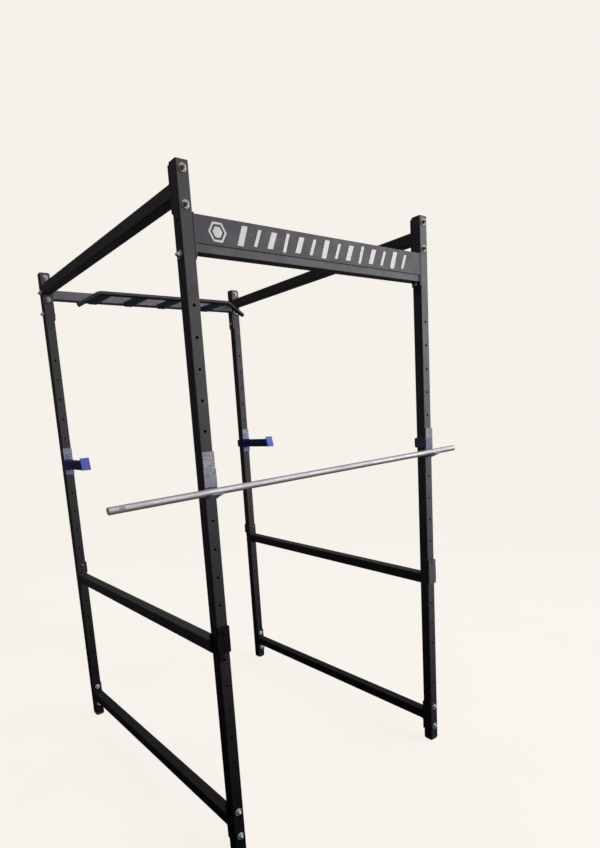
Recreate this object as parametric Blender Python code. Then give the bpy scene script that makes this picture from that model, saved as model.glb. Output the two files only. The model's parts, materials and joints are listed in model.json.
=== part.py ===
"""Four post steel training cage: square tubes, bolted beams, pull-up bar, safety bars, cups and bar.

Metres, +Z up. The cage front faces -Y, its width runs along X, and the ground is Z = 0.
Every mesh is built around its own object's origin. A moving piece has its origin on its joint axis.
"""
import math

import bmesh
import bpy
from mathutils import Matrix, Vector

# ---- driving sizes -------------------------------------------------------------------------------
TUBE = 0.040              # side of the square tube
WALL = 0.002              # tube wall
EDGE = 0.0022             # corner chamfer of the tube
GAP = 0.0003              # clearance between touching pieces
WIDTH = 1.036             # outside width of the cage
DEPTH = 1.318             # outside depth of the cage
HEIGHT = 2.100            # top of the uprights

PITCH = 0.0873            # spacing of the hole row
FIRST_HOLE = 0.066        # height of the lowest hole
HOLE_COUNT = 20           # holes in the regular row
HOLE_R = 0.0045
TOP_HOLES = (1.9860, 2.0780)
RAISED_HOLES = range(2, 15)       # holes drilled higher on some uprights
RAISED_TO_TOP = range(2, 20)      # the same on the rear right upright
ROW_LIFT = {("Front", "Left"): 0.0, ("Front", "Right"): 0.023,
            ("Rear", "Left"): 0.008, ("Rear", "Right"): 0.032}
HOLE_SIDES = 10

BAR_LEFT = 0.818          # reach of the loose bar to the left of the cage centre
BAR_RIGHT = 0.632         # reach to the right
BAR_R = 0.01065
BAR_BORE = 0.0084

PLATE_T = 0.004           # end plate thickness
PLATE_W = 0.0416
PLATE_H = 0.125

BOLT_R = 0.004
WASHER_R = 0.012
WASHER_T = 0.0018
NUT_R = 0.0075            # across-corners radius of nut and head
NUT_T = 0.0065
STUB = 0.005              # thread standing out of a nut
ROUND = 12                # sides of turned pieces

CUP_HOLE = 14             # index of the hole that carries the cups
CUP_PLATE_LOW = {"Front": 1.214, "Rear": 1.2005}
CUP_PLATE_TOP = {"Front": 1.318, "Rear": 1.3235}
SHORT_PLATE_TOP = 1.303    # plate behind the bar on the right, before its row lift
CUP_PLATE_T = 0.003
BAND_LOW = 1.2282
BAND_TOP = 1.2672
BAND_T = 0.0035
BACK_T = 0.002            # strip that passes behind the cup plate
BAR_REST = {"Left": 1.1890, "Right": 1.1985}       # underside of the bar in each cradle before its row lift
CRADLE_T = 0.0035
CRADLE_HALF = 0.0195
CRADLE_REACH = 0.0455     # cradle tip in front of the upright
CRADLE_SLOPE = 0.36       # rise of the cradle per metre away from the upright
ARM_REACH = 0.232         # rear arm length in front of the upright
ARM_LOW = 1.2282
ARM_TOP = 1.2672
ARM_LIP_TOP = 1.2800

SAFETY_HOLE = 8
SAFETY_LOW = 0.691
SAFETY_TOP = 0.731
SAFETY_LIFT = {-1: (0.0, 0.0), 1: (0.006, 0.026)}     # rise of each safety bar at its front and rear ends

# ---- derived placement ----------------------------------------------------------------------------
NUT_REACH = GAP + WASHER_T + NUT_T + STUB
RACK_X = (BAR_LEFT - BAR_RIGHT) / 2
RACK_Y = (CRADLE_REACH - NUT_REACH) / 2
POST_X = (WIDTH - TUBE) / 2
POST_Y = (DEPTH - TUBE) / 2
HALF = TUBE / 2
BAR_OUT = GAP + BACK_T + GAP + CUP_PLATE_T + GAP + BAR_R      # bar axis in front of the upright
SPAN_Y = POST_Y - HALF            # inner face of an upright from the cage centre
SPAN_X = POST_X - HALF
TOP_BEAM_Z = sum(TOP_HOLES) / 2
TOP_TUBE_DROP = 0.003             # top beam tube below the middle of its end plates
BOTTOM_BEAM_Z = FIRST_HOLE + PITCH / 2
SIDES = (("Left", -1), ("Right", 1))
ENDS = (("Front", -1), ("Rear", 1))


def hole_z(index):
    return FIRST_HOLE + PITCH * index


def lifted_hole_z(index, end, side_name):
    raised = RAISED_TO_TOP if (end, side_name) == ("Rear", "Right") else RAISED_HOLES
    return hole_z(index) + (ROW_LIFT[end, side_name] if index in raised else 0.0)


# ---- materials ------------------------------------------------------------------------------------
def material(name, colour, roughness, metallic):
    made = bpy.data.materials.new(name)
    made.use_nodes = True
    shader = made.node_tree.nodes["Principled BSDF"]
    shader.inputs["Base Color"].default_value = (*colour, 1.0)
    shader.inputs["Roughness"].default_value = roughness
    shader.inputs["Metallic"].default_value = metallic
    made.diffuse_color = (*colour, 1.0)
    return made


# ---- mesh helpers ---------------------------------------------------------------------------------
def mesh_from(name, points, faces):
    mesh = bpy.data.meshes.new(name)
    mesh.from_pydata(points, [], faces)
    tidy(mesh)
    return mesh


def tidy(mesh):
    work = bmesh.new()
    work.from_mesh(mesh)
    bmesh.ops.remove_doubles(work, verts=work.verts, dist=1e-7)
    bmesh.ops.recalc_face_normals(work, faces=work.faces)
    work.to_mesh(mesh)
    work.free()


def place(axis, a, b, along):
    """Point with in-plane coordinates a, b and position along the axis."""
    if axis == "X":
        return (along, a, b)
    if axis == "Y":
        return (a, along, b)
    return (a, b, along)


def prism(outline, axis, start, end):
    """Closed prism of an outline; the two in-plane coordinates follow X, Y, Z order."""
    count = len(outline)
    points = [place(axis, a, b, start) for a, b in outline]
    points += [place(axis, a, b, end) for a, b in outline]
    faces = [tuple(range(count)), tuple(range(2 * count - 1, count - 1, -1))]
    for i in range(count):
        j = (i + 1) % count
        faces.append((i, i + count, j + count, j))
    return mesh_from("prism", points, faces)


def box(low, high):
    outline = [(low[0], low[1]), (high[0], low[1]), (high[0], high[1]), (low[0], high[1])]
    return prism(outline, "Z", low[2], high[2])


def disc(radius, sides, turn=0.0):
    step = math.tau / sides
    return [(radius * math.cos(turn + step * i), radius * math.sin(turn + step * i)) for i in range(sides)]


def rod(axis, centre, radius, start, end, sides=ROUND):
    outline = [(centre[0] + a, centre[1] + b) for a, b in disc(radius, sides, math.pi / sides)]
    return prism(outline, axis, start, end)


def chamfered_square(half, cut):
    inner = half - cut
    return [(-inner, -half), (inner, -half), (half, -inner), (half, inner),
            (inner, half), (-inner, half), (-half, inner), (-half, -inner)]


def joined(meshes):
    """One mesh holding several separate closed shells."""
    work = bmesh.new()
    for mesh in meshes:
        work.from_mesh(mesh)
    out = bpy.data.meshes.new("joined")
    work.to_mesh(out)
    work.free()
    return out


def combine(base, other, operation):
    holder = bpy.data.objects.new("holder", base)
    tool = bpy.data.objects.new("tool", other)
    bpy.context.scene.collection.objects.link(holder)
    bpy.context.scene.collection.objects.link(tool)
    modifier = holder.modifiers.new("cut", "BOOLEAN")
    modifier.object = tool
    modifier.operation = operation
    modifier.solver = "EXACT"
    graph = bpy.context.evaluated_depsgraph_get()
    out = bpy.data.meshes.new_from_object(holder.evaluated_get(graph))
    bpy.data.objects.remove(holder)
    bpy.data.objects.remove(tool)
    tidy(out)
    return out


def union(first, *rest):
    out = first
    for mesh in rest:
        out = combine(out, mesh, "UNION")
    return out


def cut(base, *tools):
    return combine(base, joined(tools), "DIFFERENCE")


def rings(stations, outline_at):
    """Closed body through a row of matching outlines; outline_at gives the points of one station."""
    points = []
    for station in stations:
        points += outline_at(station)
    count = len(points) // len(stations)
    faces = [tuple(range(count)), tuple(range(len(points) - 1, len(points) - count - 1, -1))]
    for level in range(len(stations) - 1):
        base = level * count
        for i in range(count):
            j = (i + 1) % count
            faces.append((base + i, base + i + count, base + j + count, base + j))
    return mesh_from("rings", points, faces)


def hexagon_radius(corner, index):
    """Radius of a hexagon sampled at every 30 degrees."""
    return corner if index % 2 == 0 else corner * math.cos(math.pi / 6)


def turned(axis, sections):
    """Turned piece along an axis: sections of (position, radius, is_hexagon)."""
    def outline_at(section):
        along, radius, hexagon = section
        points = []
        for i in range(ROUND):
            angle = math.tau * i / ROUND
            reach = hexagon_radius(radius, i) if hexagon else radius
            points.append(place(axis, reach * math.cos(angle), reach * math.sin(angle), along))
        return points
    return rings(sections, outline_at)


def swept(path, radius, sides):
    """Round bar along a bent path, mitred at the bends."""
    centres = [Vector(p) for p in path]
    def outline_at(index):
        before = centres[index] - centres[index - 1] if index > 0 else centres[1] - centres[0]
        after = centres[index + 1] - centres[index] if index + 1 < len(centres) else before
        tangent = (before.normalized() + after.normalized()).normalized()
        stretch = 1.0 / max(tangent.dot(before.normalized()), 0.5)
        depth = Vector((0.0, 1.0, 0.0))
        across = tangent.cross(depth).normalized()
        true_depth = across.cross(tangent).normalized()
        points = []
        for i in range(sides):
            angle = math.tau * i / sides
            offset = across * (radius * stretch * math.cos(angle)) + true_depth * (radius * math.sin(angle))
            points.append(tuple(centres[index] + offset))
        return points
    return rings(list(range(len(centres))), outline_at)


def add(name, mesh, origin, coat):
    mesh.name = name
    if not mesh.materials:
        mesh.materials.append(coat)
    made = bpy.data.objects.new(name, mesh)
    made.location = (origin[0] + RACK_X, origin[1] + RACK_Y, origin[2])
    bpy.context.scene.collection.objects.link(made)
    return made


# ---- uprights and their feet ----------------------------------------------------------------------
FOOT_TOP = 0.016
CAP_T = 0.003


def through_holes(axis, heights):
    return [rod(axis, (0.0, z), HOLE_R, -TUBE, TUBE, HOLE_SIDES) for z in heights]


def upright_mesh(end, side_name, cross_holes):
    shell = prism(chamfered_square(HALF, EDGE), "Z", FOOT_TOP + GAP, HEIGHT)
    inside = HALF - WALL
    bore = box((-inside, -inside, 0.0), (inside, inside, HEIGHT - CAP_T))
    row = [lifted_hole_z(i, end, side_name) for i in range(HOLE_COUNT)] + list(TOP_HOLES)
    hollow = cut(shell, bore)
    return cut(hollow, *through_holes("Y", row), *through_holes("X", cross_holes))


def foot_mesh():
    """Rounded plug: a tread narrowing to its sole under the tube wall, and a stem inside the bore."""
    plug = HALF - WALL - GAP
    levels = [(0.0, HALF - 0.0100, 0.0060), (0.0018, HALF - 0.0058, 0.0055),
              (0.0055, HALF - 0.0022, 0.0040), (0.011, HALF, EDGE),
              (FOOT_TOP, HALF, EDGE), (FOOT_TOP, plug, EDGE), (0.036, plug, EDGE)]

    def outline_at(level):
        z, half, corner = level
        return [(a, b, z) for a, b in chamfered_square(half, corner)]
    return rings(levels, outline_at)


# ---- beams ----------------------------------------------------------------------------------------
def side_beam_mesh(holes, centre_z, drop):
    """Square tube along Y with an end plate at each end, open through both plates."""
    reach = SPAN_Y - GAP
    tube_z = centre_z - drop
    body = box((-HALF, -reach + PLATE_T / 2, tube_z - HALF), (HALF, reach - PLATE_T / 2, tube_z + HALF))
    for sign in (-1, 1):
        near, far = sorted((sign * reach, sign * (reach - PLATE_T)))
        low, high = centre_z - PLATE_H / 2, centre_z + PLATE_H / 2
        body = union(body, box((-PLATE_W / 2, near, low), (PLATE_W / 2, far, high)))
    inside = HALF - WALL
    bore = box((-inside, -DEPTH, tube_z - inside), (inside, DEPTH, tube_z + inside))
    drills = [rod("Y", (0.0, z), HOLE_R, -DEPTH, DEPTH, HOLE_SIDES) for z in holes]
    return cut(body, bore, *drills)


FRONT_TUBE_Z = 1.8800
FRONT_TUBE_H = 0.026
FRONT_TUBE_FRONT = 0.0360         # tube front face, measured forward from its rear face
FRONT_PLATE = (1.847, 1.971)
FRONT_CORNER = 0.008
FRONT_HOLES = (1.8600, 1.9463)
SIGN_Z = (1.8915, 1.967)
SIGN_T = 0.003


def front_plate_outline():
    low, high = FRONT_PLATE
    back, front = HALF, -HALF
    cut_z = low + FRONT_CORNER
    return [(front + FRONT_CORNER, low), (back - FRONT_CORNER, low), (back, cut_z), (back, high),
            (front, high), (front, cut_z)]


def front_crossmember_mesh():
    """Flat tube along X; origin on the line between the front uprights' centres."""
    reach = SPAN_X - GAP
    low, high = FRONT_TUBE_Z - FRONT_TUBE_H / 2, FRONT_TUBE_Z + FRONT_TUBE_H / 2
    front = HALF - FRONT_TUBE_FRONT
    body = box((-reach + PLATE_T / 2, front, low), (reach - PLATE_T / 2, HALF, high))
    for sign in (-1, 1):
        near, far = sorted((sign * reach, sign * (reach - PLATE_T)))
        body = union(body, prism(front_plate_outline(), "X", near, far))
    bore = box((-WIDTH, front + WALL, low + WALL), (WIDTH, HALF - WALL, high - WALL))
    drills = [rod("X", (0.0, z), HOLE_R, -WIDTH, WIDTH, HOLE_SIDES) for z in FRONT_HOLES]
    return cut(body, bore, *drills)


def sign_mesh():
    reach = SPAN_X - GAP - PLATE_T - GAP
    back = HALF - FRONT_TUBE_FRONT - GAP
    return box((-reach, back - SIGN_T, SIGN_Z[0]), (reach, back, SIGN_Z[1]))


REAR_TUBE_Z = 2.008
REAR_PLATE = (1.900, 2.036)
REAR_HOLES = (1.926, 2.016)


def rear_crossmember_mesh():
    """Square tube along X with deep end plates; origin on the line between the rear uprights' centres."""
    reach = SPAN_X - GAP
    low, high = REAR_TUBE_Z - HALF, REAR_TUBE_Z + HALF
    body = box((-reach + PLATE_T / 2, -HALF, low), (reach - PLATE_T / 2, HALF, high))
    for sign in (-1, 1):
        near, far = sorted((sign * reach, sign * (reach - PLATE_T)))
        body = union(body, box((near, -HALF, REAR_PLATE[0]), (far, HALF, REAR_PLATE[1])))
    inside = HALF - WALL
    end = reach - PLATE_T
    bore = box((-end, -inside, low + WALL), (end, inside, high - WALL))
    ends = []
    for z in REAR_HOLES:
        ends.append(rod("X", (0.0, z), HOLE_R, -WIDTH, -end + PLATE_T, HOLE_SIDES))
        ends.append(rod("X", (0.0, z), HOLE_R, end - PLATE_T, WIDTH, HOLE_SIDES))
    return cut(cut(body, *ends), bore)


# ---- pull-up bar ----------------------------------------------------------------------------------
GRIP_R = 0.010
GRIP_Y = 0.435                    # bar centre line, from the cage centre
GRIP_Z = 1.989
GRIP_BEND = 0.331
GRIP_END = (0.428, 0.451, 1.936)
STRUT_X = (-0.296, -0.122, 0.052, 0.296)
STRUT_W = 0.040
STRUT_H = 0.020


def pull_up_mesh():
    end_x, end_y, end_z = GRIP_END
    drop = (end_y - GRIP_Y, end_z - GRIP_Z)
    path = [(-end_x, drop[0], drop[1]), (-GRIP_BEND, 0.0, 0.0),
            (GRIP_BEND, 0.0, 0.0), (end_x, drop[0], drop[1])]
    return swept(path, GRIP_R, ROUND)


def strut_mesh():
    """Flat tube from the rear crossmember forward to the bar, open at both ends."""
    start = GRIP_Y + GRIP_R + GAP
    end = SPAN_Y - GAP
    shell = box((-STRUT_W / 2, start - GRIP_Y, -STRUT_H / 2), (STRUT_W / 2, end - GRIP_Y, STRUT_H / 2))
    half_w, half_h = STRUT_W / 2 - WALL, STRUT_H / 2 - WALL
    bore = box((-half_w, -1.0, -half_h), (half_w, 1.0, half_h))
    return cut(shell, bore)


# ---- safety bars ----------------------------------------------------------------------------------
SADDLE_T = 0.007
SADDLE_Z = {-1: (0.700, 0.785), 1: (0.697, 0.797)}
SADDLE_TONGUE = 0.675             # low corner of the left bracket
SADDLE_CORNER = 0.004
SADDLE_SIDE = (0.702, 0.756)
SIDE_T = 0.003
SADDLE_TAIL = 0.004               # reach of the side plate behind the upright
REAR_TAB = (0.686, 0.786)
WRAP_LOW = 0.737
PIN_HEAD = (0.008, 0.005)         # radius and thickness of a rear pin's head
LOW_HEAD = (0.0065, 0.0025)       # the same for a front pin
PIN_TIP = 0.012                   # reach of a pin inside the upright


def sloped(mesh, front_rise, rear_rise):
    """Mesh sheared upwards along Y, by one amount at the front uprights and another at the rear ones."""
    slope = (rear_rise - front_rise) / (2 * SPAN_Y)
    for vertex in mesh.vertices:
        vertex.co.z += front_rise + slope * (vertex.co.y + SPAN_Y)
    return mesh


def safety_bar_mesh(side, pin_z):
    """Square tube along Y; a tab on the rear upright's face and a short wrap on its inner side."""
    reach = SPAN_Y - GAP
    tube = box((-HALF, -reach, SAFETY_LOW), (HALF, reach - PLATE_T / 2, SAFETY_TOP))
    tab = box((-HALF, reach - PLATE_T, REAR_TAB[0]), (HALF, reach, REAR_TAB[1]))
    inner = -side * (HALF + GAP)
    near, far = sorted((inner, inner - side * SIDE_T))
    wrap = box((near, reach - PLATE_T, WRAP_LOW), (far, reach + TUBE + 0.004, REAR_TAB[1]))
    link_a, link_b = sorted((-side * (HALF - WALL), inner - side * SIDE_T / 2))
    link = box((link_a, reach - PLATE_T + 0.0002, WRAP_LOW + 0.001),
               (link_b, reach - 0.0002, REAR_TAB[1] - 0.001))
    body = union(tube, tab, wrap, link)
    inside = HALF - WALL
    bore = box((-inside, -DEPTH, SAFETY_LOW + WALL), (inside, reach - PLATE_T, SAFETY_TOP - WALL))
    hollow = sloped(cut(body, bore), *SAFETY_LIFT[side])
    return cut(hollow, rod("Y", (0.0, pin_z), HOLE_R, SPAN_Y / 2, DEPTH, HOLE_SIDES))


def saddle_outline(side):
    """Front plate outline: a plain plate on the right, one with a short tongue on the left."""
    low, high = SADDLE_Z[side]
    half = HALF + 0.001
    nip = SADDLE_CORNER
    if side > 0:
        return [(-half + nip, low), (half - nip, low), (half, low + nip), (half, high - nip),
                (half - nip, high), (-half + nip, high), (-half, high - nip), (-half, low + nip)]
    return [(half - nip, low), (half, low + nip), (half, high - nip),
            (half - nip, high), (-half + nip, high),
            (-half, high - nip), (-half, SADDLE_TONGUE + nip), (-half + nip, SADDLE_TONGUE),
            (-half + 0.013, SADDLE_TONGUE), (-half + 0.017, low)]


def saddle_mesh(side, pin_z):
    """Front plate of a safety bar with a side plate that runs back along the bar; origin at the upright."""
    front = -HALF - GAP
    plate = prism(saddle_outline(side), "Y", front - SADDLE_T, front)
    near, far = sorted((side * (HALF + GAP), side * (HALF + GAP + SIDE_T)))
    rise = SAFETY_LIFT[side][0]
    low, high = SADDLE_SIDE[0] + rise, SADDLE_SIDE[1] + rise
    cheek = box((near, front - SADDLE_T + 0.001, low), (far, HALF + SADDLE_TAIL, high))
    link_a, link_b = sorted((side * (HALF - 0.002), side * (HALF + GAP + SIDE_T / 2)))
    link = box((link_a, front - SADDLE_T + 0.0015, low + 0.001), (link_b, front - 0.0005, high - 0.001))
    body = union(plate, cheek, link)
    return cut(body, rod("Y", (0.0, pin_z), HOLE_R, -0.05, 0.0, HOLE_SIDES))


def pin_mesh(face, head):
    """Headed pin along Y: origin on its axis at the face of the plate it passes through."""
    radius, thick = head
    sections = [(-GAP - thick, radius - 0.0015, False), (-GAP - thick + 0.0015, radius, False),
                (-GAP, radius, False), (-GAP, BOLT_R, False), (face + WALL + PIN_TIP, BOLT_R, False)]
    return turned("Y", sections)


# ---- cups -----------------------------------------------------------------------------------------
def cup_plate_mesh(arm, top):
    """Galvanised face plate with its locating pin; origin on the pin axis at the upright's front face.

    The plate behind the loose bar is flush, and the plate around an arm has a headed pin.
    """
    pin_z = hole_z(CUP_HOLE)
    back = -GAP - BACK_T - GAP
    front = back - CUP_PLATE_T
    plate = box((-HALF, front, CUP_PLATE_LOW["Rear" if arm else "Front"] - pin_z), (HALF, back, top - pin_z))
    flush = [(front + CUP_PLATE_T / 2, BOLT_R, False), (WALL + PIN_TIP, BOLT_R, False)]
    headed = [(front - 0.003, 0.0065, False), (front - 0.0015, 0.0075, False), (front, 0.0075, False),
              (front, BOLT_R, False), (WALL + PIN_TIP, BOLT_R, False)]
    pin = turned("Y", headed if arm else flush)
    if arm:
        half = 0.0150 + GAP
        middle = (ARM_LOW + ARM_TOP) / 2 - pin_z
        window = box((-half, front - 0.01, middle - half), (half, back + 0.01, middle + half))
        plate = cut(plate, window)
    return union(plate, pin)


def band_box(side):
    """Flat band on the upright's inner side, reaching just past its rear face."""
    inner = -side * (HALF + GAP)
    near, far = sorted((inner, inner - side * BAND_T))
    low, high = BAND_LOW - hole_z(CUP_HOLE), BAND_TOP - hole_z(CUP_HOLE)
    nip = 0.005
    rear = TUBE + 0.008
    front = -GAP - BACK_T
    outline = [(front, low), (rear - nip, low), (rear, low + nip), (rear, high - nip), (rear - nip, high),
               (front, high)]
    return prism(outline, "X", near, far)


def hook_back(side, low):
    """Strip between the upright and the cup plate, tied to the band around the corner."""
    pin_z = hole_z(CUP_HOLE)
    outer = side * HALF
    inner = -side * (HALF + GAP + BAND_T)
    near, far = sorted((inner, outer))
    return box((near, -GAP - BACK_T, low - pin_z), (far, -GAP, BAND_TOP - pin_z - 0.0005))


def front_hook_mesh(side, bar_rest):
    """Band, back strip and a cradle that slopes up away from the upright; origin as the cup plate."""
    pin_z = hole_z(CUP_HOLE)
    stretch = math.hypot(1.0, CRADLE_SLOPE)
    foot = bar_rest - BAR_OUT * CRADLE_SLOPE - (BAR_R + GAP) * (stretch - 1.0) - pin_z
    depth = CRADLE_T * stretch
    root, nose, tip = GAP + BACK_T / 2, CRADLE_REACH - 0.0012, CRADLE_REACH
    side_view = [(-root, foot + root * CRADLE_SLOPE - depth), (-nose, foot + nose * CRADLE_SLOPE - depth),
                 (-tip, foot + tip * CRADLE_SLOPE - depth * 0.6), (-nose, foot + nose * CRADLE_SLOPE),
                 (-root, foot + root * CRADLE_SLOPE)]
    cradle = prism(side_view, "X", -CRADLE_HALF, CRADLE_HALF)
    return union(band_box(side), hook_back(side, foot + pin_z - depth), cradle)


def rear_hook_mesh(side):
    """Band, back strip and long square arm with a leaning end plate; origin as the cup plate."""
    pin_z = hole_z(CUP_HOLE)
    low, top = ARM_LOW - pin_z, ARM_TOP - pin_z
    middle = (low + top) / 2
    face = -GAP - BACK_T - GAP - CUP_PLATE_T - GAP
    stub = box((-0.015, face - 0.004, middle - 0.015), (0.015, -GAP - BACK_T / 2, middle + 0.015))
    flare = 0.004
    lean = 0.014
    root = [(face, low - flare), (face, top + flare), (face - 0.012, top), (-ARM_REACH + 0.0095, top),
            (-ARM_REACH, low), (face - 0.012, low)]
    arm = prism(root, "X", -HALF, HALF)
    lip_back, lip_front = -ARM_REACH + 0.001, -ARM_REACH - 0.005
    lip_low, lip_top = low - 0.001, ARM_LIP_TOP - pin_z
    lip = prism([(lip_back, lip_low), (lip_front, lip_low), (lip_front + lean, lip_top),
                 (lip_back + lean, lip_top)], "X", -HALF + 0.0004, HALF - 0.0004)
    body = union(band_box(side), hook_back(side, BAND_LOW + 0.0005), stub, arm, lip)
    inside = 0.0130
    throat = box((-inside, -ARM_REACH + 0.012, middle - inside), (inside, 0.01, middle + inside))
    return cut(body, throat)


# ---- loose bar ------------------------------------------------------------------------------------
BAR_SIDES = 20


LEFT_REST = BAR_REST["Left"] + ROW_LIFT["Front", "Left"]
RIGHT_REST = BAR_REST["Right"] + ROW_LIFT["Front", "Right"]
BAR_RISE = (RIGHT_REST - LEFT_REST) / (2 * POST_X)        # slope between the two front cups


def bar_mesh():
    """Pipe sloping up to the right with the two cradles it lies in; origin at its middle."""
    half = (BAR_LEFT + BAR_RIGHT) / 2
    shell = swept([(-half, 0.0, -half * BAR_RISE), (half, 0.0, half * BAR_RISE)], BAR_R, BAR_SIDES)
    beyond = 2 * half
    bore = swept([(-beyond, 0.0, -beyond * BAR_RISE), (beyond, 0.0, beyond * BAR_RISE)], BAR_BORE, BAR_SIDES)
    return cut(shell, bore)


# ---- fasteners ------------------------------------------------------------------------------------
def fastener_mesh(axis, front, back):
    """Bolt set along an axis: thread end and nut before `front`, head beyond `back`, washers on both."""
    nut_face = front - GAP - WASHER_T
    head_face = back + GAP + WASHER_T
    tip = nut_face - NUT_T - STUB
    sections = [(tip, BOLT_R - 0.0008, False), (tip + 0.001, BOLT_R, False),
                (nut_face - NUT_T, BOLT_R, False), (nut_face - NUT_T, NUT_R, True), (nut_face, NUT_R, True),
                (nut_face, WASHER_R, False), (front - GAP, WASHER_R, False), (front - GAP, BOLT_R, False),
                (back + GAP, BOLT_R, False), (back + GAP, WASHER_R, False), (head_face, WASHER_R, False),
                (head_face, NUT_R, True), (head_face + NUT_T - 0.001, NUT_R, True),
                (head_face + NUT_T, NUT_R - 0.0015, True)]
    return turned(axis, sections)


def short_fastener_mesh(side, grip):
    """Bolt set along X: nut and washer on the outer side of an upright, plain nut on the inner plate."""
    out = side
    outer = [(STUB + NUT_T + WASHER_T + GAP, BOLT_R - 0.0008, False),
             (STUB + NUT_T + WASHER_T + GAP - 0.001, BOLT_R, False),
             (NUT_T + WASHER_T + GAP, BOLT_R, False), (NUT_T + WASHER_T + GAP, NUT_R, True),
             (WASHER_T + GAP, NUT_R, True), (WASHER_T + GAP, WASHER_R, False), (GAP, WASHER_R, False),
             (GAP, BOLT_R, False), (-grip - GAP, BOLT_R, False), (-grip - GAP, NUT_R, True),
             (-grip - GAP - NUT_T, NUT_R, True)]
    return turned("X", [(out * along, radius, hexagon) for along, radius, hexagon in outer])


# ---- assembly -------------------------------------------------------------------------------------
def clear_scene():
    for item in list(bpy.data.objects):
        bpy.data.objects.remove(item, do_unlink=True)


def build_frame():
    foot = foot_mesh()
    front_coat = material("Upright_Front_Coat", (0.035, 0.035, 0.037), 0.45, 0.0)
    rear_coat = material("Upright_Rear_Coat", (0.030, 0.030, 0.031), 0.48, 0.0)
    rubber = material("Foot_Rubber", (0.016, 0.016, 0.016), 0.8, 0.0)
    for end, along in ENDS:
        for side_name, side in SIDES:
            spot = (side * POST_X, along * POST_Y, 0.0)
            mesh = upright_mesh(end, side_name, FRONT_HOLES if along < 0 else REAR_HOLES)
            add(f"Upright_{end}_{side_name}", mesh, spot, front_coat if along < 0 else rear_coat)
            add(f"Foot_Cap_{end}_{side_name}", foot, spot, rubber)
    top = side_beam_mesh(TOP_HOLES, TOP_BEAM_Z, TOP_TUBE_DROP)
    bottom = side_beam_mesh((hole_z(0), hole_z(1)), BOTTOM_BEAM_Z, 0.0)
    top_coat = material("Top_Beam_Coat", (0.040, 0.040, 0.042), 0.42, 0.0)
    bottom_coat = material("Bottom_Beam_Coat", (0.034, 0.034, 0.037), 0.42, 0.0)
    for side_name, side in SIDES:
        add(f"Top_Side_Beam_{side_name}", top, (side * POST_X, 0.0, 0.0), top_coat)
        add(f"Bottom_Side_Beam_{side_name}", bottom, (side * POST_X, 0.0, 0.0), bottom_coat)
    cross = material("Front_Crossmember_Coat", (0.060, 0.060, 0.066), 0.35, 0.0)
    add("Front_Crossmember", front_crossmember_mesh(), (0.0, -POST_Y, 0.0), cross)
    sign = material("Sign_Plate_Coat", (0.105, 0.108, 0.118), 0.35, 0.2)
    add("Sign_Plate", sign_mesh(), (0.0, -POST_Y, 0.0), sign)
    rear_cross = material("Rear_Crossmember_Coat", (0.085, 0.084, 0.096), 0.35, 0.0)
    add("Rear_Crossmember", rear_crossmember_mesh(), (0.0, POST_Y, 0.0), rear_cross)


def build_pull_up():
    grip = material("Pull_Up_Bar_Coat", (0.055, 0.053, 0.060), 0.35, 0.0)
    strut_coat = material("Pull_Up_Strut_Coat", (0.020, 0.026, 0.050), 0.4, 0.0)
    add("Pull_Up_Bar", pull_up_mesh(), (0.0, GRIP_Y, GRIP_Z), grip)
    strut = strut_mesh()
    for number, x in enumerate(STRUT_X, start=1):
        add(f"Pull_Up_Strut_{number}", strut, (x, GRIP_Y, GRIP_Z), strut_coat)


def build_safeties():
    tube_coat = material("Safety_Bar_Coat", (0.036, 0.036, 0.038), 0.42, 0.0)
    rough = material("Safety_Bracket_Left_Coat", (0.016, 0.017, 0.013), 0.75, 0.0)
    grey = material("Safety_Bracket_Right_Coat", (0.110, 0.110, 0.112), 0.5, 0.3)
    zinc = material("Safety_Pin_Zinc", (0.62, 0.62, 0.60), 0.3, 1.0)
    tab_face = -GAP - PLATE_T
    saddle_face = -GAP - SADDLE_T
    front_y = -POST_Y - HALF + saddle_face
    rear_y = POST_Y - HALF + tab_face
    front_pin = pin_mesh(-saddle_face, LOW_HEAD)
    rear_pin = pin_mesh(-tab_face, PIN_HEAD)
    for side_name, side in SIDES:
        x = side * POST_X
        front_z = lifted_hole_z(SAFETY_HOLE, "Front", side_name)
        rear_z = lifted_hole_z(SAFETY_HOLE, "Rear", side_name)
        coat = rough if side < 0 else grey
        add(f"Safety_Bar_{side_name}", safety_bar_mesh(side, rear_z), (x, 0.0, 0.0), tube_coat)
        add(f"Safety_Front_Bracket_{side_name}", saddle_mesh(side, front_z), (x, -POST_Y, 0.0), coat)
        add(f"Safety_Pin_Front_{side_name}", front_pin.copy(), (x, front_y, front_z), coat)
        add(f"Safety_Pin_Rear_{side_name}", rear_pin, (x, rear_y, rear_z), zinc)


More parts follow.
